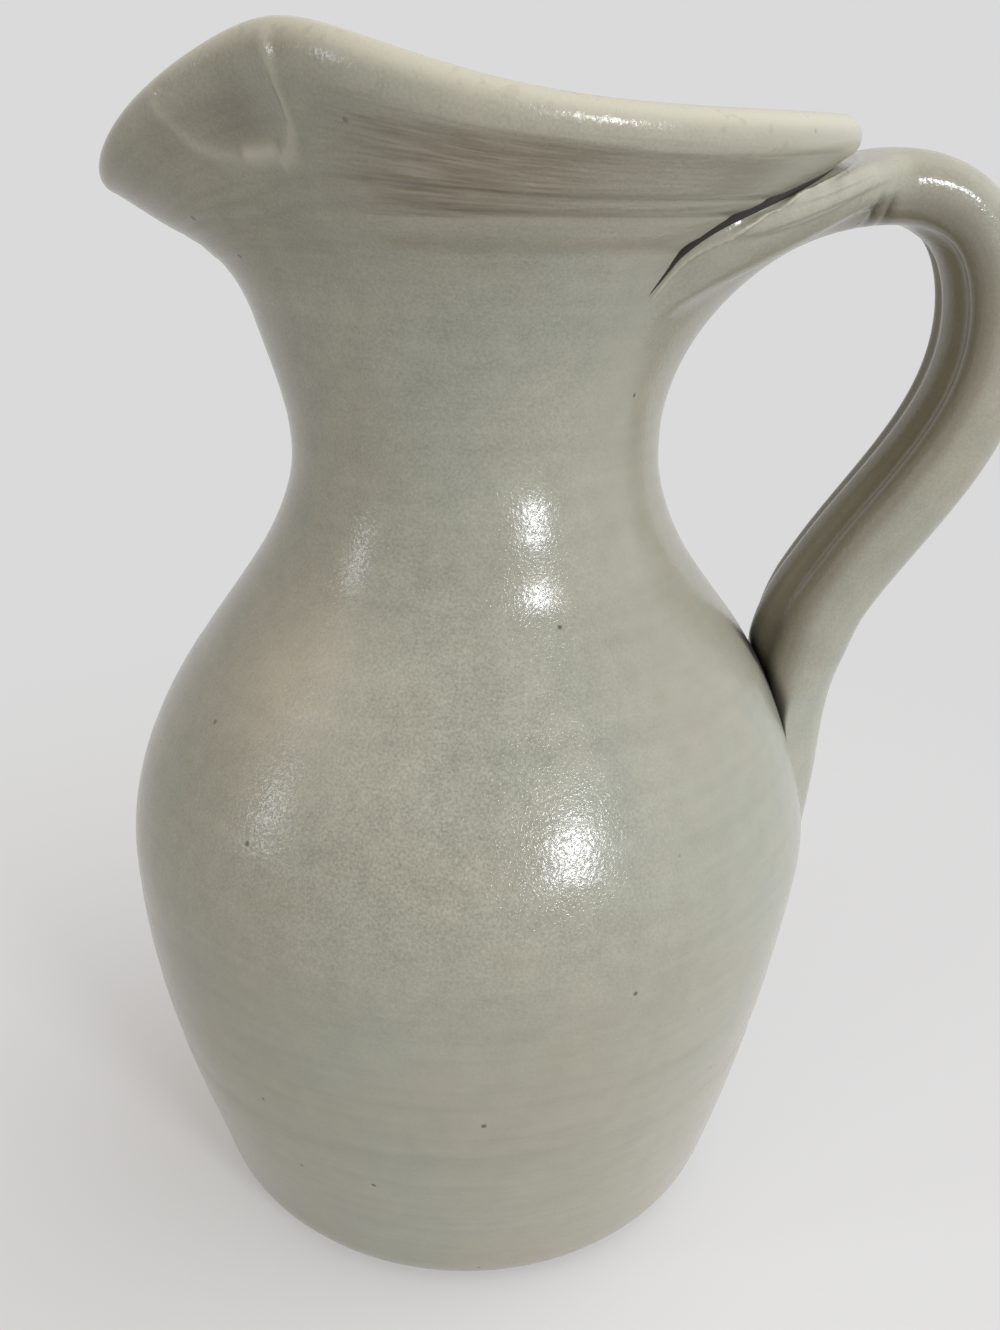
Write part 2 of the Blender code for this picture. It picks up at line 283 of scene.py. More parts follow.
# Tangents of the fanned skirt between the neck and the crest
LOW_SIDES = (0.05, 0.45)
TOP_SIDES = (0.2, 1.0)
HUG_SHARE = 0.7
SLOPE_STEP = 0.001
CREST_REACH = 0.0070
UNDER_REACH = 0.0216
FLANK_REACH = 0.0191
NECK_REACH = 0.0178
# Beads of slip in the upper and the lower joint, near black as painted shade of the crack and the wedge
# there. Depths and thin ends are shares of the bead's radius.
SEAM_ENDS = (math.radians(-17.0), math.radians(197.0))
SEAM_SINK = 0.4
SEAM_END = 0.1
SEAM_TAPER = (-0.05, 0.45)
SEAM_TOP_SIDES = (0.75, 0.95)
SEAM_TOP_FADE = 0.55
LOWER_SEAM_HEIGHT = 0.1035
LOWER_SEAM_FALL = 0.0160
LOWER_SEAM_HALF = 0.0088
LOWER_SEAM_SINK = 0.3
LOWER_SEAM_TAPER = (0.0, 0.3)
LOWER_SEAM_FULL = 1.1


def length(name, description, default):
    return FloatProperty(
        name=name, description=description, default=default, unit="LENGTH", subtype="DISTANCE"
    )


def tint(name, description, default):
    return FloatVectorProperty(
        name=name, description=description, default=default, subtype="COLOR", min=0.0, max=1.0
    )


class PitcherWall(bpy.types.PropertyGroup):
    """Sizes of the thrown wall"""

    foot_radius: length("Foot radius", "Flat disc that the pitcher stands on", 0.0415)
    heel_radius: length("Heel radius", "Outside of the wall just above the foot", 0.0520)
    heel_height: length("Heel height", "Where the rounded heel ends", 0.0085)
    belly_radius: length("Belly radius", "Widest part of the belly", 0.0642)
    belly_height: length("Belly height", "Height of the widest part", 0.0750)
    neck_radius: length("Neck radius", "Narrowest part of the neck", 0.0316)
    neck_height: length("Neck height", "Height of the narrowest part", 0.1460)
    collar_radius: length("Collar radius", "Start of the cove under the lip", 0.0480)
    collar_height: length("Collar height", "Height of the start of the cove", 0.1860)
    rim_radius: length("Rim radius", "Outside of the lip", 0.0590)
    rim_height: length("Rim height", "Top of the lip before the spout is pulled", 0.2000)
    lip_round: length("Lip rounding", "Half of the height of the lip's rounded face", 0.0031)
    lip_thickness: length("Lip thickness", "Across the top of the lip", 0.0072)
    wall: length("Wall", "Thickness of the wall", 0.0055)
    floor: length("Floor", "Thickness of the floor", 0.0080)


class PitcherSpout(bpy.types.PropertyGroup):
    """How far the lip is pulled into a spout"""

    root_height: length("Root height", "Where the pull starts on the neck", 0.1680)
    reach: length("Reach", "How far the tip is drawn out", 0.0006)
    pinch_depth: length("Pinch depth", "How far the flanks are pressed in", 0.0075)
    shoulder_rise: length("Shoulder rise", "How far the rim rises beside the spout", 0.0094)
    shoulder_depth: length("Shoulder depth", "How far below the rim that rise starts", 0.0170)
    tip_drop: length("Tip drop", "How far the tip is turned down", 0.0091)
    throat_fullness: length("Throat fullness", "How far the neck swells under the spout", 0.0018)
    throat_height: length("Throat height", "Height of that swelling", 0.1650)
    thumb_depth: length("Thumb depth", "Depth of the thumb's hollow on each flank", 0.0014)


class PitcherHandle(bpy.types.PropertyGroup):
    """Sizes of the pulled strap"""

    width: length("Width", "Width of the strap", 0.0224)
    outer_crown: length("Outer crown", "Rise of the outer face at the crest", 0.0046)
    inner_crown: length("Inner crown", "Rise of the inner face at the crest", 0.0073)
    elbow_outer_crown: length("Elbow outer crown", "Rise of the outer face at the elbow", 0.0117)
    elbow_inner_crown: length("Elbow inner crown", "Rise of the inner face at the elbow", 0.0060)
    groove_depth: length("Groove depth", "Depth of the two finger grooves on the inner face", 0.0013)
    groove_offset: length("Groove offset", "Distance of each finger groove from the middle", 0.0052)
    groove_width: length("Groove width", "Spread of each finger groove", 0.0022)
    seam_radius: length("Seam radius", "Radius of the bead of slip in the upper joint", 0.0008)


class PitcherGlaze(bpy.types.PropertyGroup):
    """Colours of the salt glaze and of the clay"""

    cool: tint("Cool glaze", "Grey-green of the thicker glaze", (0.346, 0.346, 0.278))
    warm: tint("Warm glaze", "Brown of the thinner glaze", (0.354, 0.334, 0.258))
    cream: tint("Cream", "Thin glaze on the lip and the handle's crest", (0.590, 0.552, 0.430))
    brown: tint("Brown", "Brushed band under the lip, and the handle's inner face", (0.190, 0.150, 0.092))
    blush: tint("Blush", "Pinkish beige of the thinnest glaze", (0.368, 0.326, 0.256))
    speck: tint("Iron speck", "Specks of iron in the clay", (0.060, 0.045, 0.030))
    clay: tint("Bare clay", "Unglazed foot", (0.430, 0.365, 0.270))
    # Near black: the slip's colour doubles as painted shade, for the crack along the upper joint and the
    # wedge at the lower one
    slip: tint("Slip", "Slip in the handle's joints", (0.030, 0.026, 0.022))


class PitcherStage(bpy.types.PropertyGroup):
    """Floor and backdrop"""

    floor: tint("Floor", "Pale floor", (0.840, 0.825, 0.820))
    backdrop: tint("Backdrop", "Pale background", (0.700, 0.700, 0.700))


def smooth(value, low, high):
    """Goes smoothly from zero to one as the value goes from low to high."""
    share = np.clip((value - low) / (high - low), 0.0, 1.0)
    return share * share * (3.0 - 2.0 * share)


def within(value, rise, fall):
    """One between two limits. Each limit is a pair: where the change starts, and where it ends."""
    return smooth(value, *rise) * (1.0 - smooth(value, *fall))


def powered(value, power):
    """The value raised to a power, with its sign kept."""
    return np.sign(value) * np.abs(value) ** power


def unit(vectors):
    """The vectors at length one."""
    return vectors / np.maximum(np.linalg.norm(vectors, axis=-1, keepdims=True), TINY)


def placed(radius, turn, height):
    """Points from their radius, their turn round the axis and their height."""
    return np.stack((radius * np.cos(turn), radius * np.sin(turn), height), -1)


def drawn_out(points, stretch):
    """The points moved away from the axis by a factor."""
    return points * np.stack((stretch, stretch, np.ones_like(stretch)), -1)


def bell(value, centre, spread):
    """One at the centre, and less on both sides of it."""
    return np.exp(-(((value - centre) / spread) ** 2))


def bezier(start, start_tangent, end, end_tangent, steps):
    """Points of a Bezier curve, both ends included. Tangents lead along the curve."""
    start, end = np.array(start), np.array(end)
    first, last = start + np.array(start_tangent), end - np.array(end_tangent)
    t = np.linspace(0.0, 1.0, steps + 1)[:, None]
    return (1 - t) ** 3 * start + 3 * (1 - t) ** 2 * t * first + 3 * (1 - t) * t * t * last + t ** 3 * end


def leaning(angle, reach):
    """A tangent that leans out from the vertical by the angle."""
    return np.array((math.sin(angle), math.cos(angle))) * reach


def joined(curves):
    """One outline from curves that follow each other."""
    return np.vstack([curves[0]] + [part[1:] for part in curves[1:]])


def wall_outline(wall, steps):
    """Outer side of the wall as (radius, height), from the edge of the foot up to the collar."""
    foot = (wall.foot_radius, 0.0)
    heel = (wall.heel_radius, wall.heel_height)
    belly = (wall.belly_radius, wall.belly_height)
    neck = (wall.neck_radius, wall.neck_height)
    collar = (wall.collar_radius, wall.collar_height)
    foot_run = ((wall.heel_radius - wall.foot_radius) * QUARTER_ROUND, 0.0)
    return joined([
        bezier(foot, foot_run, heel, leaning(HEEL_LEAN, wall.heel_height * QUARTER_ROUND), steps[0]),
        bezier(heel, leaning(HEEL_LEAN, HEEL_RUN), belly, (0.0, LOWER_BELLY_RUN), steps[1]),
        bezier(belly, (0.0, UPPER_BELLY_RUN), neck, (0.0, LOWER_NECK_RUN), steps[2]),
        bezier(neck, (0.0, UPPER_NECK_RUN), collar, leaning(COLLAR_LEAN, COLLAR_RUN), steps[3]),
    ])


def lip_outline(wall):
    """The lip's rounded face and top, from its lower edge to its inner edge."""
    middle = wall.rim_radius - wall.lip_round
    centre = wall.rim_height - wall.lip_round
    turn = np.linspace(LIP_UNDERCUT, math.pi / 2, LIP_STEPS + 1)
    face = np.stack((middle + wall.lip_round * np.cos(turn), centre + wall.lip_round * np.sin(turn)), 1)
    inner = (wall.rim_radius - wall.lip_thickness, centre)
    run = wall.lip_round * QUARTER_ROUND
    return joined([face, bezier(face[-1], (-run, 0.0), inner, (0.0, -run), INNER_LIP_STEPS)])


def offset(outline, distance):
    """The outline moved sideways, outward for a positive distance. It runs from the foot upward."""
    along = unit(np.gradient(outline, axis=0))
    return outline + np.stack((along[:, 1], -along[:, 0]), 1) * distance


def inner_outline(wall):
    """Inner side of the wall from the collar down to the middle of the floor."""
    inside = offset(wall_outline(wall, (INNER_STEPS,) * 4), -wall.wall)
    inside = inside[inside[:, 1] > wall.floor + FLOOR_ROUND][::-1]
    run = FLOOR_ROUND * QUARTER_ROUND
    edge = (inside[-1][0] - FLOOR_ROUND, wall.floor)
    curve = bezier(inside[-1], (0.0, -run), edge, (-run, 0.0), FLOOR_STEPS)
    return joined([inside, curve, np.array((edge, (edge[0] / 2, wall.floor), (0.0, wall.floor)))])


def outer_outline(wall):
    """The whole outer side, from the edge of the foot to the top of the lip."""
    lower = wall_outline(wall, (HEEL_STEPS, LOWER_BELLY_STEPS, SHOULDER_STEPS, NECK_STEPS))
    lip = lip_outline(wall)
    leave, arrive = leaning(COLLAR_LEAN, COVE_RUN), leaning(COVE_LEAN, COVE_RUN)
    return joined([lower, bezier(lower[-1], leave, lip[0], arrive, COVE_STEPS), lip])


def relief(height, marks):
    """Relief of rings and lines that run level round the wall."""
    return sum(rise * bell(height, level, spread) for level, rise, spread in marks)


def smooth_radius(wall, height):
    """Radius of the turned outer side at a height, without its rings and lines."""
    outline = outer_outline(wall)
    top = int(np.argmax(outline[:, 1])) + 1
    return np.interp(height, outline[:top, 1], outline[:top, 0])


def flank_of(turn):
    """Angle from the middle of the spout, on either side, of a turn that starts at the handle."""
    return np.abs(np.arctan2(np.sin(turn), -np.cos(turn)))


def ring_relief(height, turn):
    """Relief of the throwing rings, which wander up and down on their way round."""
    wander = RING_WOBBLE * (np.sin(turn + RING_PHASES[0]) + 0.5 * np.sin(2.0 * turn + RING_PHASES[1]))
    return relief(height + wander, THROWING_RINGS)


def line_relief(height, turn):
    """Relief of the turned lines, which dip and soften towards the spout."""
    flank = flank_of(turn)
    dip = LINE_DIP * (1.0 - smooth(flank, *LINE_DIP_ANGLES))
    depth = SPOUT_LINE_DEPTH + (1.0 - SPOUT_LINE_DEPTH) * smooth(flank, *LINE_FADE_ANGLES)
    return depth * relief(height + dip, COLLAR_LINES)


def warp(height, turn):
    """How far the belly, shoulder and neck are out of round."""
    oval = OUT_OF_ROUND * np.cos(2.0 * (turn - OUT_OF_ROUND_TURN))
    out = oval * within(height, OUT_OF_ROUND_FOOT, OUT_OF_ROUND_TOP)
    for rise, level, tall, middle, spread in FULLER_PLACES:
        out = out + rise * bell(turn, middle, spread) * bell(height, level, tall)
    return out


def body_radius(wall, height, turn=0.0):
    """Radius of the finished outer wall at a height below the lip, and a turn from the handle."""
    marks = ring_relief(height, turn) + line_relief(height, turn) + warp(height, turn)
    return smooth_radius(wall, height) + marks


def radii_at(wall, points):
    """How far the points are from the axis, and how far the finished wall is behind them."""
    surface = body_radius(wall, points[..., 2], np.arctan2(points[..., 1], points[..., 0]))
    return np.hypot(points[..., 0], points[..., 1]), surface


def fresh_start():
    """Leaves edit mode and lets go of everything, so that the next operator acts on its own piece only."""
    if bpy.context.mode != "OBJECT":
        bpy.ops.object.mode_set(mode="OBJECT")
    bpy.ops.object.select_all(action="DESELECT")


def named(name):
    """Gives the new piece and its mesh their name."""
    piece = bpy.context.active_object
    piece.name = name
    piece.data.name = name
    return piece


def points_of(mesh):
    points = np.empty(len(mesh.vertices) * 3)
    mesh.vertices.foreach_get("co", points)
    return points.reshape(-1, 3)


def move_points(mesh, points):
    mesh.vertices.foreach_set("co", points.ravel())
    mesh.update()


def keep_field(mesh, name, values):
    """Stores a number or a vector for each point of the mesh, for its material to read."""
    if values.ndim == 1:
        mesh.attributes.new(name, "FLOAT", "POINT").data.foreach_set("value", values.astype(np.float32))
    else:
        field = mesh.attributes.new(name, "FLOAT_VECTOR", "POINT")
        field.data.foreach_set("vector", values.astype(np.float32).ravel())


def turned_piece(name, outline):
    """Draws the outline point by point from the middle of the foot, and spins it."""
    fresh_start()
    bpy.ops.mesh.primitive_plane_add(size=0.01)
    piece = named(name)
    bpy.ops.object.mode_set(mode="EDIT")
    bpy.ops.mesh.select_all(action="SELECT")
    bpy.ops.mesh.merge(type="CENTER")
    for step in np.diff(outline, axis=0, prepend=np.zeros((1, 2))):
        if np.any(step):
            bpy.ops.mesh.extrude_vertices_move(TRANSFORM_OT_translate={"value": (step[0], 0.0, step[1])})
    bpy.ops.mesh.select_all(action="SELECT")
    bpy.ops.mesh.spin(steps=TURN_SEGMENTS, angle=math.tau, center=(0.0, 0.0, 0.0), axis=(0.0, 0.0, 1.0))
    bpy.ops.mesh.select_all(action="SELECT")
    bpy.ops.mesh.remove_doubles(threshold=SPIN_MERGE_DISTANCE)
    bpy.ops.mesh.normals_make_consistent(inside=False)
    bpy.ops.object.mode_set(mode="OBJECT")
    bpy.ops.object.shade_smooth()
    return piece


def lofted_piece(name, rings):
    """A tube through closed rings of points, with its ends filled. Keeps each point's ring and side."""
    fresh_start()
    count, sides = rings.shape[:2]
    bpy.ops.mesh.primitive_grid_add(x_subdivisions=sides, y_subdivisions=count - 1, size=1.0)
    piece = named(name)
    flat = points_of(piece.data)
    side = np.rint((flat[:, 0] + 0.5) * sides).astype(int) % sides
    ring = np.rint((flat[:, 1] + 0.5) * (count - 1)).astype(int)
    move_points(piece.data, rings[ring, side])
    keep_field(piece.data, "ring", ring.astype(float))
    keep_field(piece.data, "side", side.astype(float))
    bpy.ops.object.mode_set(mode="EDIT")
    bpy.ops.mesh.select_all(action="SELECT")
    bpy.ops.mesh.remove_doubles(threshold=MERGE_DISTANCE)
    bpy.ops.mesh.select_all(action="SELECT")
    bpy.ops.mesh.fill_holes(sides=0)
    bpy.ops.mesh.select_all(action="SELECT")
    bpy.ops.mesh.normals_make_consistent(inside=False)
    bpy.ops.object.mode_set(mode="OBJECT")
    bpy.ops.object.shade_smooth()
    return piece


def field_of(mesh, name):
    values = np.empty(len(mesh.vertices), np.float32)
    mesh.attributes[name].data.foreach_get("value", values)
    return values.astype(float)


def ridge_distance(angle, height, radius, line):
    """Distance over the surface from one of the thumb's ridges, a line of a few straight runs."""
    nearest = np.full(angle.shape, 1.0)
    here = np.stack((angle * radius, height), 1)
    knots = [(math.radians(turn), level) for turn, level in line]
    for start, end in zip(knots, knots[1:]):
        first = np.stack((start[0] * radius, np.full_like(radius, start[1])), 1)
        run = np.stack((end[0] * radius, np.full_like(radius, end[1])), 1) - first
        share = np.clip(np.sum((here - first) * run, 1) / np.sum(run * run, 1), 0.0, 1.0)
        nearest = np.minimum(nearest, np.linalg.norm(here - first - run * share[:, None], axis=1))
    return nearest


def pull_spout(points, wall, spout):
    """Moves points of the turned shape to where the pulled spout takes them."""
    radius = np.maximum(np.hypot(points[:, 0], points[:, 1]), MERGE_DISTANCE)
    height = points[:, 2]
    pull = smooth(height, spout.root_height, wall.rim_height)
    lift = smooth(height, wall.rim_height - spout.shoulder_depth, wall.rim_height)
    angle = np.arctan2(points[:, 1], -points[:, 0])
    flank = np.abs(angle)
    out = spout.reach * bell(angle, 0.0, REACH_SPREAD)
    out -= spout.pinch_depth * bell(flank, PINCH_ANGLE, PINCH_SPREAD)
    throat = bell(angle, 0.0, THROAT_ANGLE) * bell(height, spout.throat_height, THROAT_SPREAD)
    up = spout.shoulder_rise * bell(flank, SHOULDER_ANGLE, SHOULDER_SPREAD) * lift
    up -= spout.tip_drop * bell(angle, 0.0, TIP_SPREAD) * pull
    stretch = (radius + out * pull + spout.throat_fullness * throat) / radius
    return np.stack((points[:, 0] * stretch, points[:, 1] * stretch, height + up), 1)


def shape_body(mesh, wall, spout):
    """Gives the turned wall its rings and thumb marks, then pulls the spout. Keeps what the glaze reads."""
    points = points_of(mesh)
    radius = np.hypot(points[:, 0], points[:, 1])
    height = points[:, 2].copy()
    turn = np.arctan2(points[:, 1], points[:, 0])
    flank = flank_of(turn)
    lip_foot = wall.rim_height - wall.lip_round
    lip_middle = wall.rim_radius - wall.lip_thickness / 2
    wall_middle = smooth_radius(wall, height) - wall.wall / 2
    outside = radius > np.where(height > lip_foot, lip_middle, wall_middle)
    outside = np.logical_or(outside, height < wall.floor / 2).astype(float)

    marks = ring_relief(height, turn) + line_relief(height, turn)
    wave = (height + INNER_RING_PITCH * turn / math.tau) * math.tau / INNER_RING_PITCH
    inner = INNER_RING_RELIEF * np.sin(wave) * within(height, INNER_RING_FOOT, INNER_RING_TOP)
    out = outside * marks + (1.0 - outside) * inner + warp(height, turn)

    hollow = bell(flank, THUMB_ANGLE, THUMB_SPREAD) * bell(height, THUMB_HEIGHT, THUMB_TALL)
    near = outside * np.where(points[:, 1] < 0.0, 1.0, FAR_THUMB)
    pushed = np.zeros_like(height)
    for rise, line in THUMB_RIDGES:
        ridge = bell(ridge_distance(flank, height, radius, line), 0.0, THUMB_RIDGE_SPREAD)
        pushed = np.maximum(pushed, rise * ridge)
    out += near * (pushed - spout.thumb_depth * hollow)
    stretch = (radius + out) / np.maximum(radius, MERGE_DISTANCE)
    thrown = drawn_out(points, np.where(radius > wall.foot_radius * 0.5, stretch, 1.0))

    beside = smooth(flank, *BESIDE_ANGLES)
    most = bell(height, GRAINY_HEIGHT, GRAINY_TALL) * bell(np.abs(turn), GRAINY_TURN, GRAINY_ANGLE)
    grainy = smooth(height, *GRAINY_FOOT) * smooth(np.abs(turn), *GRAINY_SIDES)
    shaded_wedge = within(height, WEDGE_FOOT, WEDGE_TOP) * (points[:, 0] > 0.0)
    lip = smooth(height, *(wall.rim_height - share * wall.lip_round for share in LIP_INSIDE))
    fields = {
        "level": height,
        "cut": outside * np.clip(-marks / DEEP_CUT, 0.0, 1.0),
        "ridge": near * pushed / THUMB_RIDGES[-1][0],
        "beside": beside,
        "pale_patch": outside * bell(height, PALE_PATCH_HEIGHT, PALE_PATCH_TALL) * bell(turn, PALE_PATCH_TURN, PALE_PATCH_ANGLE),
        "hollow": near * hollow,
        "edge": smooth(height, *(wall.rim_height - share * wall.lip_round for share in LIP_EDGE)),
        "cove": outside * beside * (1.0 - COVE_FADE * smooth(flank, *COVE_FADE_ANGLES)),
        "grainy": outside * grainy * (GRAINY_LEAST + (1.0 - GRAINY_LEAST) * most),
        "stain": outside * (1.0 - smooth(flank, *STAIN_ANGLES)) * within(height, STAIN_FOOT, STAIN_TOP),
        "inside": 1.0 - np.maximum(outside, lip),
        # Painted shade: the belly under the strap's landing, inside the wedge, is darkened in the glaze
        "joint": outside * shaded_wedge * (1.0 - smooth(np.abs(points[:, 1]), *WEDGE_HALF)),
        "bare": outside * (1.0 - smooth(height, *BARE_HEIGHTS)),
    }
    for name, values in fields.items():
        keep_field(mesh, name, values)
    move_points(mesh, pull_spout(thrown, wall, spout))



def handle_path(wall):
    """The middle of the strap in the XZ plane, from its crest to its landing."""
    crest = np.array((wall.rim_radius + CREST_OUT, wall.rim_height - CREST_DROP))
    outermost = np.array((wall.rim_radius + HANDLE_OUT, wall.rim_height - HANDLE_DROP))
    elbow = np.array((smooth_radius(wall, ELBOW_HEIGHT) + ELBOW_CLEARANCE, ELBOW_HEIGHT))
    span = np.abs(outermost - crest)
    fall = (outermost[1] - elbow[1]) * SLOW_BEND
    leave, arrive = (span[0] * CREST_BEND, 0.0), (0.0, -span[1] * QUARTER_ROUND)
    over = bezier(crest, leave, outermost, arrive, STRAP_STEPS)
    down = bezier(outermost, (0.0, -fall), elbow, -leaning(ELBOW_LEAN, fall), STRAP_STEPS)
    approach = -leaning(ELBOW_LEAN, ELBOW_RUN)
    approach[0] += smooth_radius(wall, ELBOW_HEIGHT) - smooth_radius(wall, ELBOW_HEIGHT + approach[1])
    dive = -leaning(LANDING_DIVE, (ELBOW_HEIGHT - LANDING_HEIGHT) * SLOW_BEND)
    start, end = (ELBOW_CLEARANCE, ELBOW_HEIGHT), (-LANDING_BURY, LANDING_HEIGHT)
    closing = bezier(start, approach, end, dive, STRAP_STEPS)
    closing[:, 0] += smooth_radius(wall, closing[:, 1])
    return joined([over, down, closing])


def strap_half(handle, step):
    """Half of the strap's width at a step along it."""
    return (handle.width + (LANDING_WIDTH - handle.width) * smooth(step, *LANDING_STEPS)) / 2


def strap_rings(wall, handle, sides):
    """Cross-sections of the strap from its crest to its landing, as rings of points."""
    path = handle_path(wall)
    step = np.arange(len(path)) / STRAP_STEPS
    along = np.gradient(path, axis=0)
    along[0] = (1.0, 0.0)
    along = unit(along)
    swell = smooth(step, *SWELL_STEPS)
    landing = smooth(step, *LANDING_STEPS)
    heel = HEEL_SHIFT * bell(step, HEEL_STEP, HEEL_SPREAD)
    outer = handle.outer_crown + (handle.elbow_outer_crown - handle.outer_crown) * swell
    outer += (LANDING_CROWN - handle.elbow_outer_crown) * landing - heel
    inner = handle.inner_crown + (handle.elbow_inner_crown - handle.inner_crown) * swell
    inner += UNDER_CREST_SWELL * bell(step, UNDER_CREST_STEP, UNDER_CREST_SPREAD) + heel
    inner += HEEL_SWELL * bell(step, HEEL_SWELL_STEP, HEEL_SWELL_SPREAD)
    groove = handle.groove_depth * smooth(step, *GROOVE_STEPS) * (1.0 - landing)
    square = (1.0 - smooth(step, *SQUARE_STEPS))[:, None]
    across = strap_half(handle, step)[:, None] * powered(np.cos(sides), 1.0 + (SQUARE_WIDTH - 1.0) * square)
    crown = powered(np.sin(sides), 1.0 + (SQUARE_CROWN - 1.0) * square)
    across = across * (1.0 - SQUARE_TAPER * square * crown)
    rise = np.where(np.sin(sides) < 0.0, inner[:, None], outer[:, None]) * crown + heel[:, None]
    under = smooth(-np.sin(sides), *GROOVE_SIDES)
    rise = rise + groove[:, None] * under * bell(np.abs(across), handle.groove_offset, handle.groove_width)
    rings = np.empty((len(path), len(sides), 3))
    rings[..., 0] = path[:, :1] - along[:, 1:] * rise
    rings[..., 1] = across
    rings[..., 2] = path[:, 1:] + along[:, :1] * rise
    return rings


def settle_on_wall(points, wall):
    """Lays the landing on the belly: what would be inside the wall lies on it, and its edge runs out."""
    radius, surface = radii_at(wall, points)
    away = radius - surface
    film = LANDING_FILLET ** 2 / (4.0 * wall.wall)
    lifted = (away + np.sqrt(away ** 2 + LANDING_FILLET ** 2)) / 2 - film
    share = 1.0 - smooth(points[..., 2], *SETTLE_HEIGHTS)
    return drawn_out(points, 1.0 + share * (surface + np.maximum(lifted, -FILM_SINK) - radius) / radius)


def wipe_down(rings, wall, handle, sides):
    """Draws the lower end of the strap out onto the belly on both sides, until it runs out in a tongue."""
    step = np.arange(len(rings)) / STRAP_STEPS
    radius, surface = radii_at(wall, rings)
    crest = (radius - surface).max(axis=1) * (1.0 - smooth(step, RUN_OUT_START, RUN_OUT_END))
    tip = np.clip((step - TIP_ROUND_START) / (LANDING_STEPS[1] - TIP_ROUND_START), 0.0, 1.0)
    half = (strap_half(handle, step) + WIPE_FLARE) * np.sqrt(1.0 - TIP_ROUND * tip ** 2)
    across = half[:, None] * np.cos(sides)
    rise = crest[:, None] * np.abs(np.sin(sides)) ** (2.0 * WIPE_POWER) - FILM_SINK
    rise = np.where(np.sin(sides) < 0.0, WIPE_DEPTH * np.sin(sides) - FILM_SINK, rise)
    reach = body_radius(wall, rings[..., 2], np.arcsin(across / wall.belly_radius)) + rise
    wiped = np.stack((np.sqrt(reach ** 2 - across ** 2), across, rings[..., 2]), -1)
    middle = rings[..., 2].mean(axis=1)
    share = np.where(step > LANDING_STEPS[0], 1.0 - smooth(middle, WIPE_FULL, WIPE_START), 0.0)
    return rings + (wiped - rings) * share[:, None, None]


def footprint(sides):
    """Where the fanned root meets the neck, for each side of the strap: turn round the neck, and height."""
    up, across = np.sin(sides), np.cos(sides)
    upper = ROOT_ANGLE * np.abs(across) ** ROOT_UPPER_POWER
    lower = ROOT_LOW_ANGLE * np.abs(across) ** ROOT_LOWER_POWER
    angle = np.sign(across) * (upper + (lower - upper) * smooth(-up, *ROOT_LOW_SIDES))
    height = ROOT_HEIGHT + np.where(up > 0.0, ROOT_TOP, ROOT_BOTTOM) * up
    return angle, height


def root_rings(wall, crest, sides):
    """The fanned skirt from the neck to the strap's crest: its lower side runs out into the neck."""
    angle, height = footprint(sides)
    low = smooth(-np.sin(sides), *LOW_SIDES)
    sink = ROOT_SINK + (FILM_SINK - ROOT_SINK) * low
    foot = placed(body_radius(wall, height, angle) - sink, angle, height)
    slope = smooth_radius(wall, height + SLOPE_STEP) - smooth_radius(wall, height - SLOPE_STEP)
    upward = unit(placed(slope / (2.0 * SLOPE_STEP), angle, np.ones_like(angle)))
    level = np.zeros_like(angle)
    round_neck = -np.sign(angle)[:, None] * np.stack((-np.sin(angle), np.cos(angle), level), 1)
    hug = np.abs(np.cos(sides))[:, None] * round_neck * FLANK_REACH * HUG_SHARE
    hug += np.abs(np.sin(sides))[:, None] * upward * NECK_REACH
    top = smooth(np.sin(sides), *TOP_SIDES)[:, None]
    straight = np.array((1.0, 0.0, 0.0)) * (FLANK_REACH + (CREST_REACH - FLANK_REACH) * top)
    leave = straight + (hug - straight) * low[:, None]
    reach = CREST_REACH + (UNDER_REACH - CREST_REACH) * smooth(-np.sin(sides), 0.0, 1.0)
    arrive = np.stack((reach, level, level), 1)
    t = np.linspace(0.0, 1.0, SKIRT_STEPS + 1)[:, None, None] ** SKIRT_CROWDING
    skirt = (1 - t) ** 3 * foot + 3 * (1 - t) ** 2 * t * (foot + leave)
    skirt = skirt + 3 * (1 - t) * t * t * (crest - arrive) + t ** 3 * crest
    return crisp_edge(skirt, sides)


def facing(rings):
    """Outward directions of a tube of rings."""
    across = np.roll(rings, -1, axis=1) - np.roll(rings, 1, axis=1)
    return unit(np.cross(across, np.gradient(rings, axis=0)))


def crisp_edge(skirt, sides):
    """Raises the edge that a finger left along the upper joint. Returns the skirt and the edge's mask,
    which the glaze also uses for a painted highlight along it.
    """
    run = np.cumsum(np.linalg.norm(np.diff(skirt, axis=0, prepend=skirt[:1]), axis=2), axis=0)
    up = np.sin(sides)
    place = ROOT_SINK + EDGE_DISTANCE * smooth(up, *EDGE_AWAY_SIDES)
    share = smooth(up, *EDGE_SIDES) * (1.0 - EDGE_TOP_FADE * smooth(up, *EDGE_TOP_SIDES))
    edge = share * np.exp(-np.abs((run - place) / EDGE_SPREAD) ** EDGE_POWER)
    return skirt + facing(skirt) * (EDGE_RISE * edge)[..., None], edge


def crease(rings):
    """Presses two short creases into the strap's near edge. Returns the rings and the creases' mask, which
    also darkens them in the glaze as painted shade.
    """
    near = smooth(-rings[..., 1], *CREASE_EDGE) * bell(rings[..., 2], CREASE_HEIGHT, CREASE_TALL)
    crease_and_shade = near * sum(bell(rings[..., 0], place, CREASE_WIDTH) for place in CREASE_PLACES)
    return rings - facing(rings) * (CREASE_DEPTH * crease_and_shade)[..., None], crease_and_shade


def bed_rings(wall, sides):
    """Closes the root's back inside the wall, so that nothing of it shows through the neck."""
    angle, height = footprint(sides)
    share = np.linspace(BED_START, 1.0, BED_STEPS)[:, None]
    turn = angle * share
    level = ROOT_MIDDLE + (height - ROOT_MIDDLE) * share
    return placed(body_radius(wall, level, turn) - BED_DEPTH, turn, level)


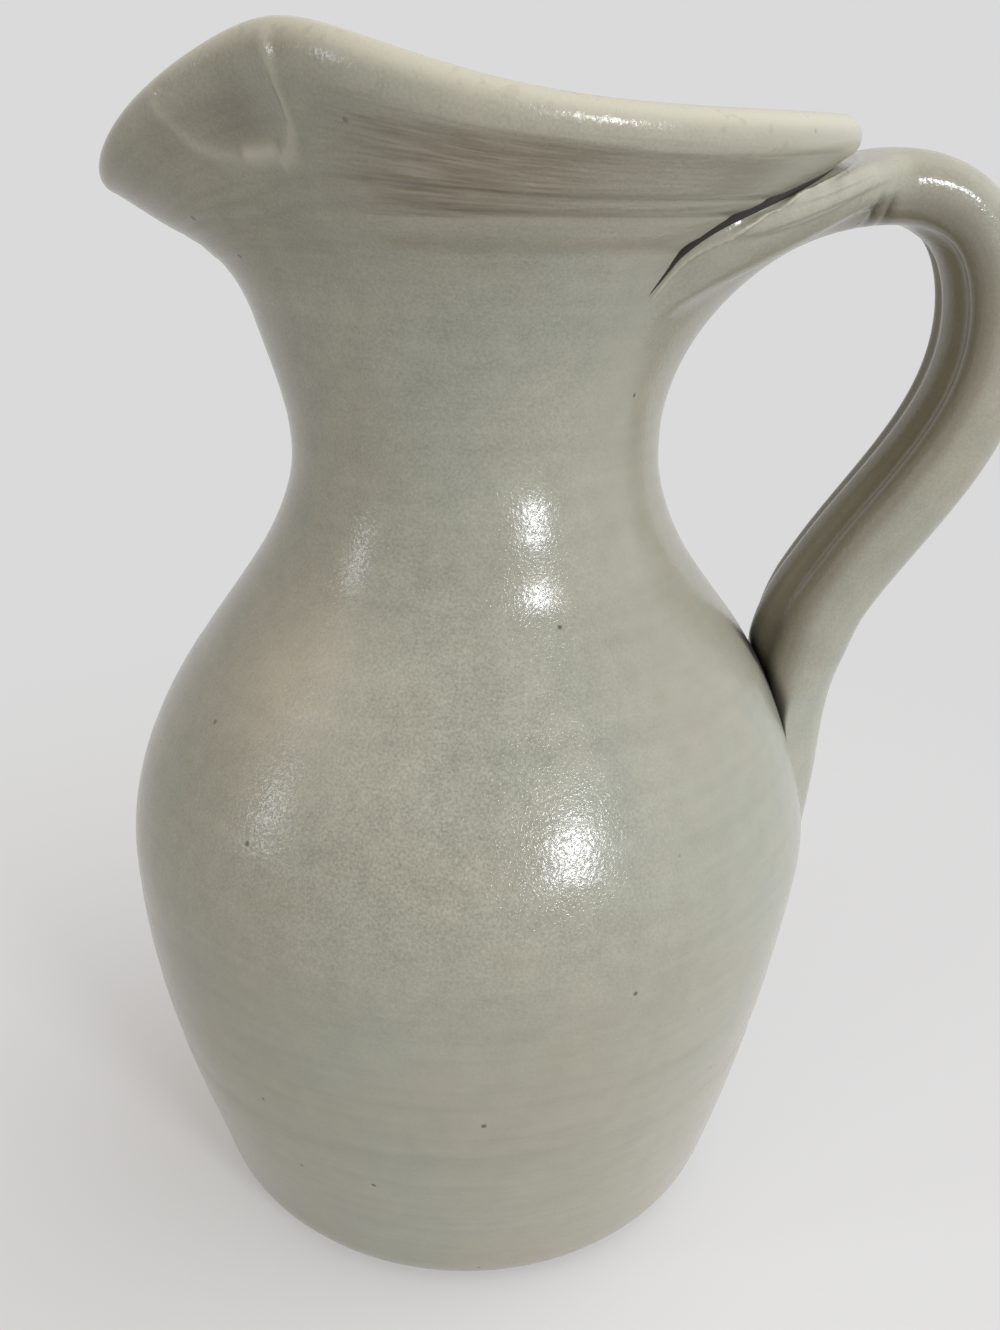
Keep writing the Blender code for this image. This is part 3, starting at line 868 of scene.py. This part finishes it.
def shape_handle(wall, handle):
    """Rings of the whole handle, the angles of their sides, and what its glaze reads at each point."""
    sides = math.tau * (np.arange(STRAP_SIDES) + 0.5) / STRAP_SIDES
    strap = settle_on_wall(strap_rings(wall, handle, sides), wall)
    strap = wipe_down(strap, wall, handle, sides)
    skirt, edge = root_rings(wall, strap[0], sides)
    bed = bed_rings(wall, sides)
    rings, crease_and_shade = crease(np.concatenate((bed, skirt[:-1], strap)))
    start = len(bed) + SKIRT_STEPS
    fields = {"edge": np.zeros(rings.shape[:2]), "crease_and_shade": crease_and_shade}
    fields["edge"][len(bed):start] = edge[:-1]
    # The strap's inner face browns here: browner glaze, with painted shade on top of it
    onward = smooth(np.arange(len(rings)), start - SKIRT_STEPS * UNDER_START, start)
    fields["under"] = onward[:, None] * smooth(-np.sin(sides), *UNDER_SIDES)
    wrinkled = np.abs(rings) - np.array(WRINKLE_PLACE)
    fields["wrinkled"] = np.exp(-np.sum(wrinkled ** 2, axis=2) / WRINKLE_SPREAD ** 2)
    fields["crest"] = smooth(np.sin(sides), *CREAM_SIDES) * smooth(rings[..., 2], *CREAM_HEIGHTS)
    away = np.hypot(rings[..., 0], rings[..., 1]) - smooth_radius(wall, rings[..., 2])
    # Painted shade: the strap's inner face close to the belly, inside the wedge, is darkened towards near
    # black
    joint = (1.0 - smooth(away, *WEDGE_GAPS)) * smooth(-np.sin(sides), *WEDGE_SIDES)
    joint *= within(rings[..., 2], WEDGE_FOOT, WEDGE_TOP)
    joint[:start] = 0.0
    fields["joint"] = joint
    return rings, sides, fields


def swept_rings(path, radii):
    """Round sections along a path, for a bead of slip."""
    along = unit(np.gradient(path, axis=0))
    sideways = unit(np.cross(along, (0.0, 0.0, 1.0)))
    lift = np.cross(sideways, along)
    turn = math.tau * np.arange(SEAM_SIDES) / SEAM_SIDES
    spread = sideways[:, None] * np.cos(turn)[:, None] + lift[:, None] * np.sin(turn)[:, None]
    return path[:, None] + spread * radii[:, None, None]


class Signal:
    """An output socket of a material's node. Arithmetic on it adds Math nodes."""

    def __init__(self, finish, socket):
        self.finish = finish
        self.socket = socket

    def maths(self, operation, first, second):
        return self.finish.node("ShaderNodeMath", {"operation": operation}, {0: first, 1: second})

    def __add__(self, other):
        return self.maths("ADD", self, other)

    __radd__ = __add__

    def __sub__(self, other):
        return self.maths("SUBTRACT", self, other)

    def __rsub__(self, other):
        return self.maths("SUBTRACT", other, self)

    def __mul__(self, other):
        return self.maths("MULTIPLY", self, other)

    __rmul__ = __mul__


class Finish:
    """A material, and the ways in which its nodes are added."""

    def __init__(self, name, tree=None):
        if tree is None:
            self.material = bpy.data.materials.new(name)
            self.material.use_nodes = True
            tree = self.material.node_tree
        self.tree = tree

    def plug(self, socket, value):
        if isinstance(value, Signal):
            self.tree.links.new(value.socket, socket)
        elif socket.type == "RGBA":
            socket.default_value = (*value, 1.0)
        else:
            socket.default_value = value

    def node(self, kind, settings, inputs, output=0):
        """Adds a node of any type: its settings first, then the values or links of its sockets."""
        made = self.tree.nodes.new(kind)
        for key, value in settings.items():
            setattr(made, key, value)
        for key, value in inputs.items():
            self.plug(self.socket(made.inputs, key), value)
        return Signal(self, self.socket(made.outputs, output))

    @staticmethod
    def socket(sockets, key):
        if isinstance(key, int):
            return sockets[key]
        return next(item for item in sockets if key in (item.identifier, item.name))

    def field(self, name, output="Fac"):
        return self.node("ShaderNodeAttribute", {"attribute_name": name}, {}, output)

    def noise(self, where, scale, detail=2.0, roughness=0.5):
        values = {"Vector": where, "Scale": scale, "Detail": detail, "Roughness": roughness}
        return self.node("ShaderNodeTexNoise", {}, values, "Fac")

    def ease(self, value, low, high, start=0.0, end=1.0):
        """Goes smoothly from start to end as the value goes from low to high."""
        values = {"Value": value, "From Min": low, "From Max": high, "To Min": start, "To Max": end}
        return self.node("ShaderNodeMapRange", {"interpolation_type": "SMOOTHSTEP"}, values, "Result")

    def blend(self, share, first, second):
        values = {"Factor_Float": share, "A_Color": first, "B_Color": second}
        return self.node("ShaderNodeMix", {"data_type": "RGBA"}, values, "Result_Color")

    def within(self, value, rise, fall):
        """One between two limits. Each limit is a pair: where the change starts, and where it ends."""
        return self.ease(value, *rise) * self.ease(value, *fall, 1.0, 0.0)

    def place(self):
        """Where a point is on its piece."""
        return self.node("ShaderNodeTexCoord", {}, {}, "Object")

    def vector(self, operation, inputs, output="Vector"):
        return self.node("ShaderNodeVectorMath", {"operation": operation}, inputs, output)

    def scaled(self, colour, amount):
        return self.vector("SCALE", {"Vector": colour, "Scale": amount})

    def stretched(self, where, stretch):
        return self.vector("MULTIPLY", {0: where, 1: stretch})

    def surface(self, colour, roughness, height, depth):
        """Sends the finished signals to the material's shader."""
        shader = self.tree.nodes["Principled BSDF"]
        self.plug(shader.inputs["Base Color"], colour)
        self.plug(shader.inputs["Roughness"], roughness)
        bump = {"Strength": 1.0, "Distance": depth, "Height": height}
        self.plug(shader.inputs["Normal"], self.node("ShaderNodeBump", {}, bump, "Normal"))
        return self.material

    def plug_output(self, signal):
        """Sends a shader to the output of the material or the world."""
        output = next(item for item in self.tree.nodes if item.bl_idname.startswith("ShaderNodeOutput"))
        self.tree.links.new(signal.socket, output.inputs["Surface"])


# Depth of the glaze's orange peel, and scales of its patterns
PEEL_DEPTH = 0.000055
PEEL_SCALE = 1350.0
GRAIN_SCALE = 2600.0
GRAIN_SHARE = 0.30
SPECKLE_SCALE = 2300.0
MOTTLE_SCALE = 230.0
BLOTCH_SCALE = 17.0
TONE_SCALE = 62.0
SPECK_SCALE = 165.0
WORN_SCALE = 420.0
FOLD_SCALE = 760.0
# How strongly the patterns show on plain glaze, and how much more where it is grainy
LINES_SHOW = 0.13
MOTTLE_SHOW = (0.14, 0.26)
TONE_SHOW = (0.14, 0.18)
SPECKLE_SHOW = (0.08, 0.90)
HANDLE_GRAIN = 0.3
# Patterns drawn out along the wheel's turn, or along the strap
LINE_STRETCH = (26.0, 26.0, 620.0)
BRUSH_STRETCH = (130.0, 130.0, 3200.0)
STREAK_STRETCH = (50.0, 50.0, 1100.0)
PULL_STRETCH = (700.0, 700.0, 22.0)
FOLD_STRETCH = (1.0, 1.0, 0.55)
# Heights of the bands at the lip, and how ragged their limits are
LIP_BAND = (0.1930, 0.1958)
COVE_FOOT = (0.1858, 0.1880)
COVE_TOP = (0.1930, 0.1962)
BLUSH_FOOT = (0.1780, 0.1845)
BLUSH_TOP = (0.1862, 0.1885)
RAGGED = 0.0050
GLAZE_ROUGHNESS = 0.17


def glaze_ground(finish, glaze, where, lines, grainy):
    """What the salt glaze shows all over: warm and cool clouds, faint lines, speckle and iron specks."""
    clouds = finish.ease(finish.noise(where, BLOTCH_SCALE, 3.0), 0.36, 0.64)
    colour = finish.blend(clouds, glaze.cool, glaze.warm)
    mottle = finish.noise(where, MOTTLE_SCALE, 3.0)
    speckle = finish.noise(where, SPECKLE_SCALE, 2.0)
    tone = finish.noise(where, TONE_SCALE, 4.0, 0.6)
    colour = finish.blend(finish.ease(tone, 0.44, 0.72) * 0.40, colour, glaze.blush)
    level = 1.0 + (lines - 0.5) * LINES_SHOW
    shows = ((mottle, MOTTLE_SHOW), (tone, TONE_SHOW), (speckle, SPECKLE_SHOW))
    for pattern, (plain, more) in shows:
        level = level + (pattern - 0.5) * (plain + grainy * more)
    colour = finish.scaled(colour, level)
    spots = {"Vector": where, "Scale": SPECK_SCALE}
    gap = finish.node("ShaderNodeTexVoronoi", {}, spots, "Distance")
    lot = finish.node("ShaderNodeTexVoronoi", {}, spots, "Color")
    few = finish.ease(finish.node("ShaderNodeSeparateColor", {}, {"Color": lot}, "Red"), 0.74, 0.78)
    specks = finish.ease(gap, 0.050, 0.092, 1.0, 0.0) * few
    return finish.blend(specks * 0.75, colour, glaze.speck), mottle


def peel(finish, where, grainy):
    """Height of the orange peel that salt leaves, with scattered sharper grains on it."""
    grains = finish.ease(finish.noise(where, GRAIN_SCALE, 1.0), 0.50, 0.74)
    return finish.noise(where, PEEL_SCALE, 2.0, 0.4) + grains * (0.4 + grainy) * GRAIN_SHARE


def body_glaze(glaze):
    """Salt glaze of the body, with the brushed cove, the creamy lip and the bare foot, and painted shade in
    the wedge under the handle's landing.
    """
    finish = Finish("salt_glaze_body")
    where = finish.place()
    level = finish.field("level")
    flat = finish.node("ShaderNodeSeparateXYZ", {}, {"Vector": where}, "X")
    deep = finish.node("ShaderNodeSeparateXYZ", {}, {"Vector": where}, "Y")
    wheel = finish.node("ShaderNodeCombineXYZ", {}, {"X": flat, "Y": deep, "Z": level}, "Vector")
    lines = finish.noise(finish.stretched(wheel, LINE_STRETCH), 1.0, 3.0)
    brush = finish.noise(finish.stretched(wheel, BRUSH_STRETCH), 1.0, 3.0)
    streak = finish.noise(finish.stretched(wheel, STREAK_STRETCH), 1.0, 3.0)
    grainy = finish.field("grainy")
    colour, mottle = glaze_ground(finish, glaze, where, lines, grainy)
    cut, beside = finish.field("cut"), finish.field("beside")
    bare, ridge, inside = finish.field("bare"), finish.field("ridge"), finish.field("inside")
    ragged = level + (streak - 0.5) * RAGGED
    lip = finish.ease(ragged, *LIP_BAND) * beside
    cove = finish.within(ragged, COVE_FOOT, COVE_TOP) * finish.field("cove")
    blush = finish.within(level, BLUSH_FOOT, BLUSH_TOP) * beside
    pale_patch = finish.field("pale_patch")
    colour = finish.blend(blush * 0.22 + pale_patch * 0.45, colour, glaze.blush)
    # Painted shade: the glaze goes much darker in the wedge under the strap's landing
    shade = 1.0 + pale_patch * 0.34 - cut * 0.10 - finish.field("hollow") * 0.12 - finish.field("joint") * 0.75
    colour = finish.scaled(colour, shade)
    colour = finish.blend(finish.field("stain") * (0.20 + (streak - 0.5) * 0.5), colour, glaze.brown)
    colour = finish.blend(inside * 0.35, colour, glaze.warm)
    band = finish.blend(finish.ease(brush, 0.28, 0.80), glaze.brown, glaze.blush)
    band = finish.scaled(band, 1.0 - cut * 0.30)
    colour = finish.blend(cove * (0.72 + (mottle - 0.5) * 0.8), colour, band)
    worn = finish.ease(finish.noise(where, WORN_SCALE, 3.0), 0.30, 0.42)
    colour = finish.blend(lip * (0.16 + worn * 0.14), colour, glaze.cream)
    colour = finish.blend(finish.field("edge") * (0.70 + worn * 0.3), colour, glaze.cream)
    colour = finish.blend(ridge * 0.70, colour, glaze.cream)
    colour = finish.blend(bare, colour, glaze.clay)
    rough = GLAZE_ROUGHNESS + (mottle - 0.5) * 0.12 + cove * 0.16 + lip * 0.05 + bare * 0.5 + cut * 0.06
    height = peel(finish, where, grainy) + cove * brush * 1.05 + lip * worn * 0.50
    return finish.surface(colour, rough, height, PEEL_DEPTH)


def handle_glaze(glaze):
    """Salt glaze of the handle, browner inside the strap and creamy on its crest. Painted shade darkens its
    inner face, its two creases and the wedge at the belly, and a painted highlight runs along the root's
    crisp edge.
    """
    finish = Finish("salt_glaze_handle")
    where = finish.place()
    pulled = finish.field("pulled", "Vector")
    lines = finish.noise(finish.stretched(pulled, PULL_STRETCH), 1.0, 3.0)
    colour, mottle = glaze_ground(finish, glaze, where, lines, HANDLE_GRAIN)
    edge, wrinkled = finish.field("edge"), finish.field("wrinkled")
    colour = finish.blend(finish.field("crest") * (0.34 + (mottle - 0.5) * 0.6), colour, glaze.cream)
    # Browner glaze on the strap's inner face, deepened as painted shade
    colour = finish.blend(finish.field("under") * (0.46 + (lines - 0.5) * 0.5), colour, glaze.brown)
    # Cream along the root's crisp edge: thinner glaze there, strengthened into a painted highlight
    colour = finish.blend(edge * 0.60, colour, glaze.cream)
    # Painted shade in the two creases on the strap's near edge
    colour = finish.scaled(colour, 1.0 - finish.field("crease_and_shade") * 0.55)
    # Painted shade in the wedge: the strap's inner face near the belly goes to the slip's near black
    colour = finish.blend(finish.field("joint") * 0.88, colour, glaze.slip)
    rough = GLAZE_ROUGHNESS + (mottle - 0.5) * 0.12 - wrinkled * 0.04
    folds = finish.noise(finish.stretched(where, FOLD_STRETCH), FOLD_SCALE, 2.0)
    height = peel(finish, where, HANDLE_GRAIN) + lines * 0.20 + wrinkled * folds * 4.5
    return finish.surface(colour, rough, height, PEEL_DEPTH)


def slip_and_gap_shade_finish(glaze):
    """Dark, dull slip in the joints, near black as painted shade of the crack and the wedge there."""
    finish = Finish("luting_slip")
    where = finish.place()
    grain = finish.noise(where, 900.0, 3.0)
    colour = finish.blend(finish.noise(where, 160.0) * 0.2, glaze.slip, glaze.brown)
    colour = finish.scaled(colour, 0.4 + grain * 0.5)
    return finish.surface(colour, 0.75 + grain * 0.2, grain, PEEL_DEPTH)


class PITCHER_OT_thrown_body(bpy.types.Operator):
    """Throws the body: foot, belly, neck, lip and pulled spout"""

    bl_idname = "pitcher.thrown_body"
    bl_label = "Thrown Body"

    def execute(self, context):
        wall, spout = context.scene.pitcher_wall, context.scene.pitcher_spout
        foot = np.array(((wall.foot_radius / 2, 0.0),))
        outline = np.vstack((foot, outer_outline(wall), inner_outline(wall)))
        piece = turned_piece("pitcher_body", outline)
        shape_body(piece.data, wall, spout)
        piece.data.materials.append(body_glaze(context.scene.pitcher_glaze))
        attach(piece, "root")
        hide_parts("thrown_body")
        return {"FINISHED"}


class PITCHER_OT_handle(bpy.types.Operator):
    """Pulls the strap handle, fans out its root under the lip and lays its tongue on the belly"""

    bl_idname = "pitcher.handle"
    bl_label = "Pulled Handle"

    def execute(self, context):
        wall, handle = context.scene.pitcher_wall, context.scene.pitcher_handle
        rings, sides, fields = shape_handle(wall, handle)
        piece = lofted_piece("pitcher_handle", rings)
        mesh = piece.data
        ring, side = field_of(mesh, "ring").astype(int), field_of(mesh, "side").astype(int)
        middle = rings.mean(axis=1)
        travel = np.concatenate(((0.0,), np.cumsum(np.linalg.norm(np.diff(middle, axis=0), axis=1))))
        turn = sides[side]
        across, rise = np.cos(turn) * handle.width / 2, np.sin(turn) * handle.inner_crown
        keep_field(mesh, "pulled", np.stack((across, rise, travel[ring]), 1))
        for name, values in fields.items():
            keep_field(mesh, name, values[ring, side])
        mesh.materials.append(handle_glaze(context.scene.pitcher_glaze))
        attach(piece, "root")
        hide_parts("handle")
        return {"FINISHED"}


class PITCHER_OT_joint_slip(bpy.types.Operator):
    """Runs slip into the handle's two joints, as near-black beads that paint the shade of the crack and the
    wedge there
    """

    bl_idname = "pitcher.joint_slip"
    bl_label = "Joint Slip"

    def execute(self, context):
        wall, handle = context.scene.pitcher_wall, context.scene.pitcher_handle
        finish = slip_and_gap_shade_finish(context.scene.pitcher_glaze)
        bead = handle.seam_radius
        sides = np.linspace(*SEAM_ENDS, SEAM_STEPS + 1)
        angle, height = footprint(sides)
        path = placed(smooth_radius(wall, height) - bead * SEAM_SINK, angle, height)
        ends = smooth(np.sin(np.linspace(0.0, math.pi, SEAM_STEPS + 1)), *SEAM_TAPER)
        full = ends * (1.0 - SEAM_TOP_FADE * smooth(np.sin(sides), *SEAM_TOP_SIDES))
        radii = bead * (SEAM_END + (1.0 - SEAM_END) * full)
        upper = lofted_piece("upper_slip_and_crack_shade", swept_rings(path, radii))

        spread = np.linspace(-1.0, 1.0, SEAM_STEPS + 1)
        level = LOWER_SEAM_HEIGHT - LOWER_SEAM_FALL * spread ** 2
        lane = body_radius(wall, level) - bead * LOWER_SEAM_SINK
        reach = LOWER_SEAM_HALF * spread
        path = np.stack((np.sqrt(lane ** 2 - reach ** 2), reach, level), 1)
        full = LOWER_SEAM_FULL * smooth(1.0 - np.abs(spread), *LOWER_SEAM_TAPER)
        lower = lofted_piece("lower_slip_and_wedge_shade", swept_rings(path, bead * (SEAM_END + full)))
        for piece, node in ((upper, "upper_joint_slip"), (lower, "lower_joint_slip")):
            piece.data.materials.append(finish)
            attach(piece, "root")
            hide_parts(node)
        return {"FINISHED"}


# Camera: place, turns in degrees, lens and sensor in millimetres, and the nearest distance that it sees
CAMERA_PLACE = (-0.01084, -0.21672, 0.19694)
CAMERA_TURN = (66.781, -1.213, -3.681)
CAMERA_LENS = 33.83
CAMERA_SENSOR = 36.0
CAMERA_NEAREST = 0.005
# Floor: its size, its roughness, and where it runs out into the background
FLOOR_SIZE = 8.0
FLOOR_ROUGHNESS = 0.9
FADE_START = 0.06
FADE_END = 0.32
NEAR_FADE = 0.35
# Soft boxes: name, turn round the pitcher and above the floor in degrees, distance, width, height, watts
# and colour. All of them face the same point.
SOFT_BOXES = (
    ("key_light", -58.0, 20.0, 1.6, 0.30, 0.27, 9.0, (0.96, 0.99, 1.05)),
    ("fill_light", -163.0, 17.0, 1.6, 0.20, 0.32, 1.4, (0.94, 1.0, 1.08)),
    ("upper_light", -140.0, 48.0, 1.3, 1.20, 1.20, 2.0, (1.0, 1.0, 1.0)),
)
AIM = (0.0, 0.0, 0.11)
# Light from all round, and more of it from the right, the left and above
AMBIENT = (0.02, 0.02, 0.02)
AMBIENT_SIDES = (
    ((1.0, 0.0, 0.0), (1.72, 1.82, 1.98)),
    ((-1.0, 0.0, 0.0), (0.14, 0.11, 0.06)),
    ((0.0, 0.0, 1.0), (0.50, 0.46, 0.41)),
)
# Light that the far floor sends back, as a share of the background's
FAR_BOUNCE = 0.72


def soft_box(name, around, above, distance, width, tall, power, colour):
    """Adds an area light that faces the pitcher."""
    light = bpy.data.lights.new(name, "AREA")
    light.shape = "RECTANGLE"
    light.size, light.size_y, light.energy = width, tall, power
    light.color = colour
    lamp = bpy.data.objects.new(name, light)
    around, above = math.radians(around), math.radians(above)
    lamp.location = np.array(AIM) + placed(math.cos(above), around, math.sin(above)) * distance
    lamp.rotation_euler = (math.pi / 2 - above, 0.0, around + math.pi / 2)
    bpy.context.scene.collection.objects.link(lamp)


def seen_rays(finish):
    """One for rays that show the background: from the camera, mirrored or passed through."""
    kinds = ("Camera", "Glossy", "Transmission")
    rays = [finish.node("ShaderNodeLightPath", {}, {}, f"Is {kind} Ray") for kind in kinds]
    return rays[0].maths("MAXIMUM", rays[0].maths("MAXIMUM", rays[0], rays[1]), rays[2])


def floor_finish(stage):
    """Pale floor that runs out into the colour of the background."""
    finish = Finish("pale_floor")
    away = finish.vector("LENGTH", {0: finish.place()}, "Value")
    shader = finish.tree.nodes["Principled BSDF"]
    shader.inputs["Base Color"].default_value = (*stage.floor, 1.0)
    shader.inputs["Roughness"].default_value = FLOOR_ROUGHNESS
    shown = seen_rays(finish)
    bounce = finish.node("ShaderNodeEmission", {}, {"Color": stage.backdrop, "Strength": FAR_BOUNCE})
    plain = finish.node("ShaderNodeEmission", {}, {"Color": stage.backdrop, "Strength": 1.0})
    glow = finish.node("ShaderNodeMixShader", {}, {0: shown, 1: bounce, 2: plain})
    fade = finish.ease(away, FADE_START, FADE_END, NEAR_FADE, 1.0)
    both = finish.node("ShaderNodeMixShader", {}, {0: fade, 1: Signal(finish, shader.outputs[0]), 2: glow})
    finish.plug_output(both)
    return finish.material


def light_world(stage):
    """Even light from all round. Camera and mirror rays see the pale background."""
    world = bpy.data.worlds.new("studio")
    world.use_nodes = True
    bpy.context.scene.world = world
    finish = Finish("studio", world.node_tree)
    world.node_tree.nodes.remove(world.node_tree.nodes["Background"])
    toward = finish.node("ShaderNodeTexCoord", {}, {}, "Generated")
    cast = AMBIENT
    for side, colour in AMBIENT_SIDES:
        share = finish.vector("DOT_PRODUCT", {0: toward, 1: side}, "Value")
        share = share.maths("MAXIMUM", share, 0.0)
        cast = finish.vector("ADD", {0: cast, 1: finish.scaled(colour, share)})
    ambient = finish.node("ShaderNodeBackground", {}, {"Color": cast, "Strength": 1.0})
    backdrop = finish.node("ShaderNodeBackground", {}, {"Color": stage.backdrop, "Strength": 1.0})
    both = {0: seen_rays(finish), 1: ambient, 2: backdrop}
    finish.plug_output(finish.node("ShaderNodeMixShader", {}, both))


class PITCHER_OT_stage(bpy.types.Operator):
    """Sets the pale floor, the soft light and the camera"""

    bl_idname = "pitcher.stage"
    bl_label = "Stage"

    def execute(self, context):
        scene = context.scene
        fresh_start()
        bpy.ops.mesh.primitive_plane_add(size=FLOOR_SIZE)
        floor = named("floor")
        floor.data.materials.append(floor_finish(scene.pitcher_stage))
        light_world(scene.pitcher_stage)
        for box in SOFT_BOXES:
            soft_box(*box)
        view = bpy.data.cameras.new("camera")
        view.lens, view.sensor_width, view.clip_start = CAMERA_LENS, CAMERA_SENSOR, CAMERA_NEAREST
        camera = bpy.data.objects.new("camera", view)
        camera.location = CAMERA_PLACE
        camera.rotation_euler = [math.radians(turn) for turn in CAMERA_TURN]
        scene.collection.objects.link(camera)
        scene.camera = camera
        scene.view_settings.view_transform = "Standard"
        return {"FINISHED"}


class PITCHER_PT_sidebar(bpy.types.Panel):
    """Lists the pitcher's pieces"""

    bl_idname = "PITCHER_PT_sidebar"
    bl_label = "Pitcher"
    bl_space_type = "VIEW_3D"
    bl_region_type = "UI"
    bl_category = "Pitcher"

    def draw(self, context):
        for group in GROUPS:
            settings = getattr(context.scene, group)
            column = self.layout.column(align=True)
            for key in settings.__annotations__:
                column.prop(settings, key)
        for operator in OPERATORS:
            self.layout.operator(operator.bl_idname)


GROUPS = {
    "pitcher_wall": PitcherWall,
    "pitcher_spout": PitcherSpout,
    "pitcher_handle": PitcherHandle,
    "pitcher_glaze": PitcherGlaze,
    "pitcher_stage": PitcherStage,
}
OPERATORS = (PITCHER_OT_thrown_body, PITCHER_OT_handle, PITCHER_OT_joint_slip, PITCHER_OT_stage)


def register():
    for name, group in GROUPS.items():
        bpy.utils.register_class(group)
        setattr(bpy.types.Scene, name, PointerProperty(type=group))
    for item in (*OPERATORS, PITCHER_PT_sidebar):
        bpy.utils.register_class(item)


def unregister():
    for item in (PITCHER_PT_sidebar, *reversed(OPERATORS)):
        bpy.utils.unregister_class(item)
    for name, group in reversed(GROUPS.items()):
        delattr(bpy.types.Scene, name)
        bpy.utils.unregister_class(group)


def main():
    register()
    bpy.ops.pitcher.thrown_body()
    bpy.ops.pitcher.handle()
    bpy.ops.pitcher.joint_slip()
    bpy.ops.pitcher.stage()
    bpy.context.view_layer.update()


if __name__ == "__main__":
    main()
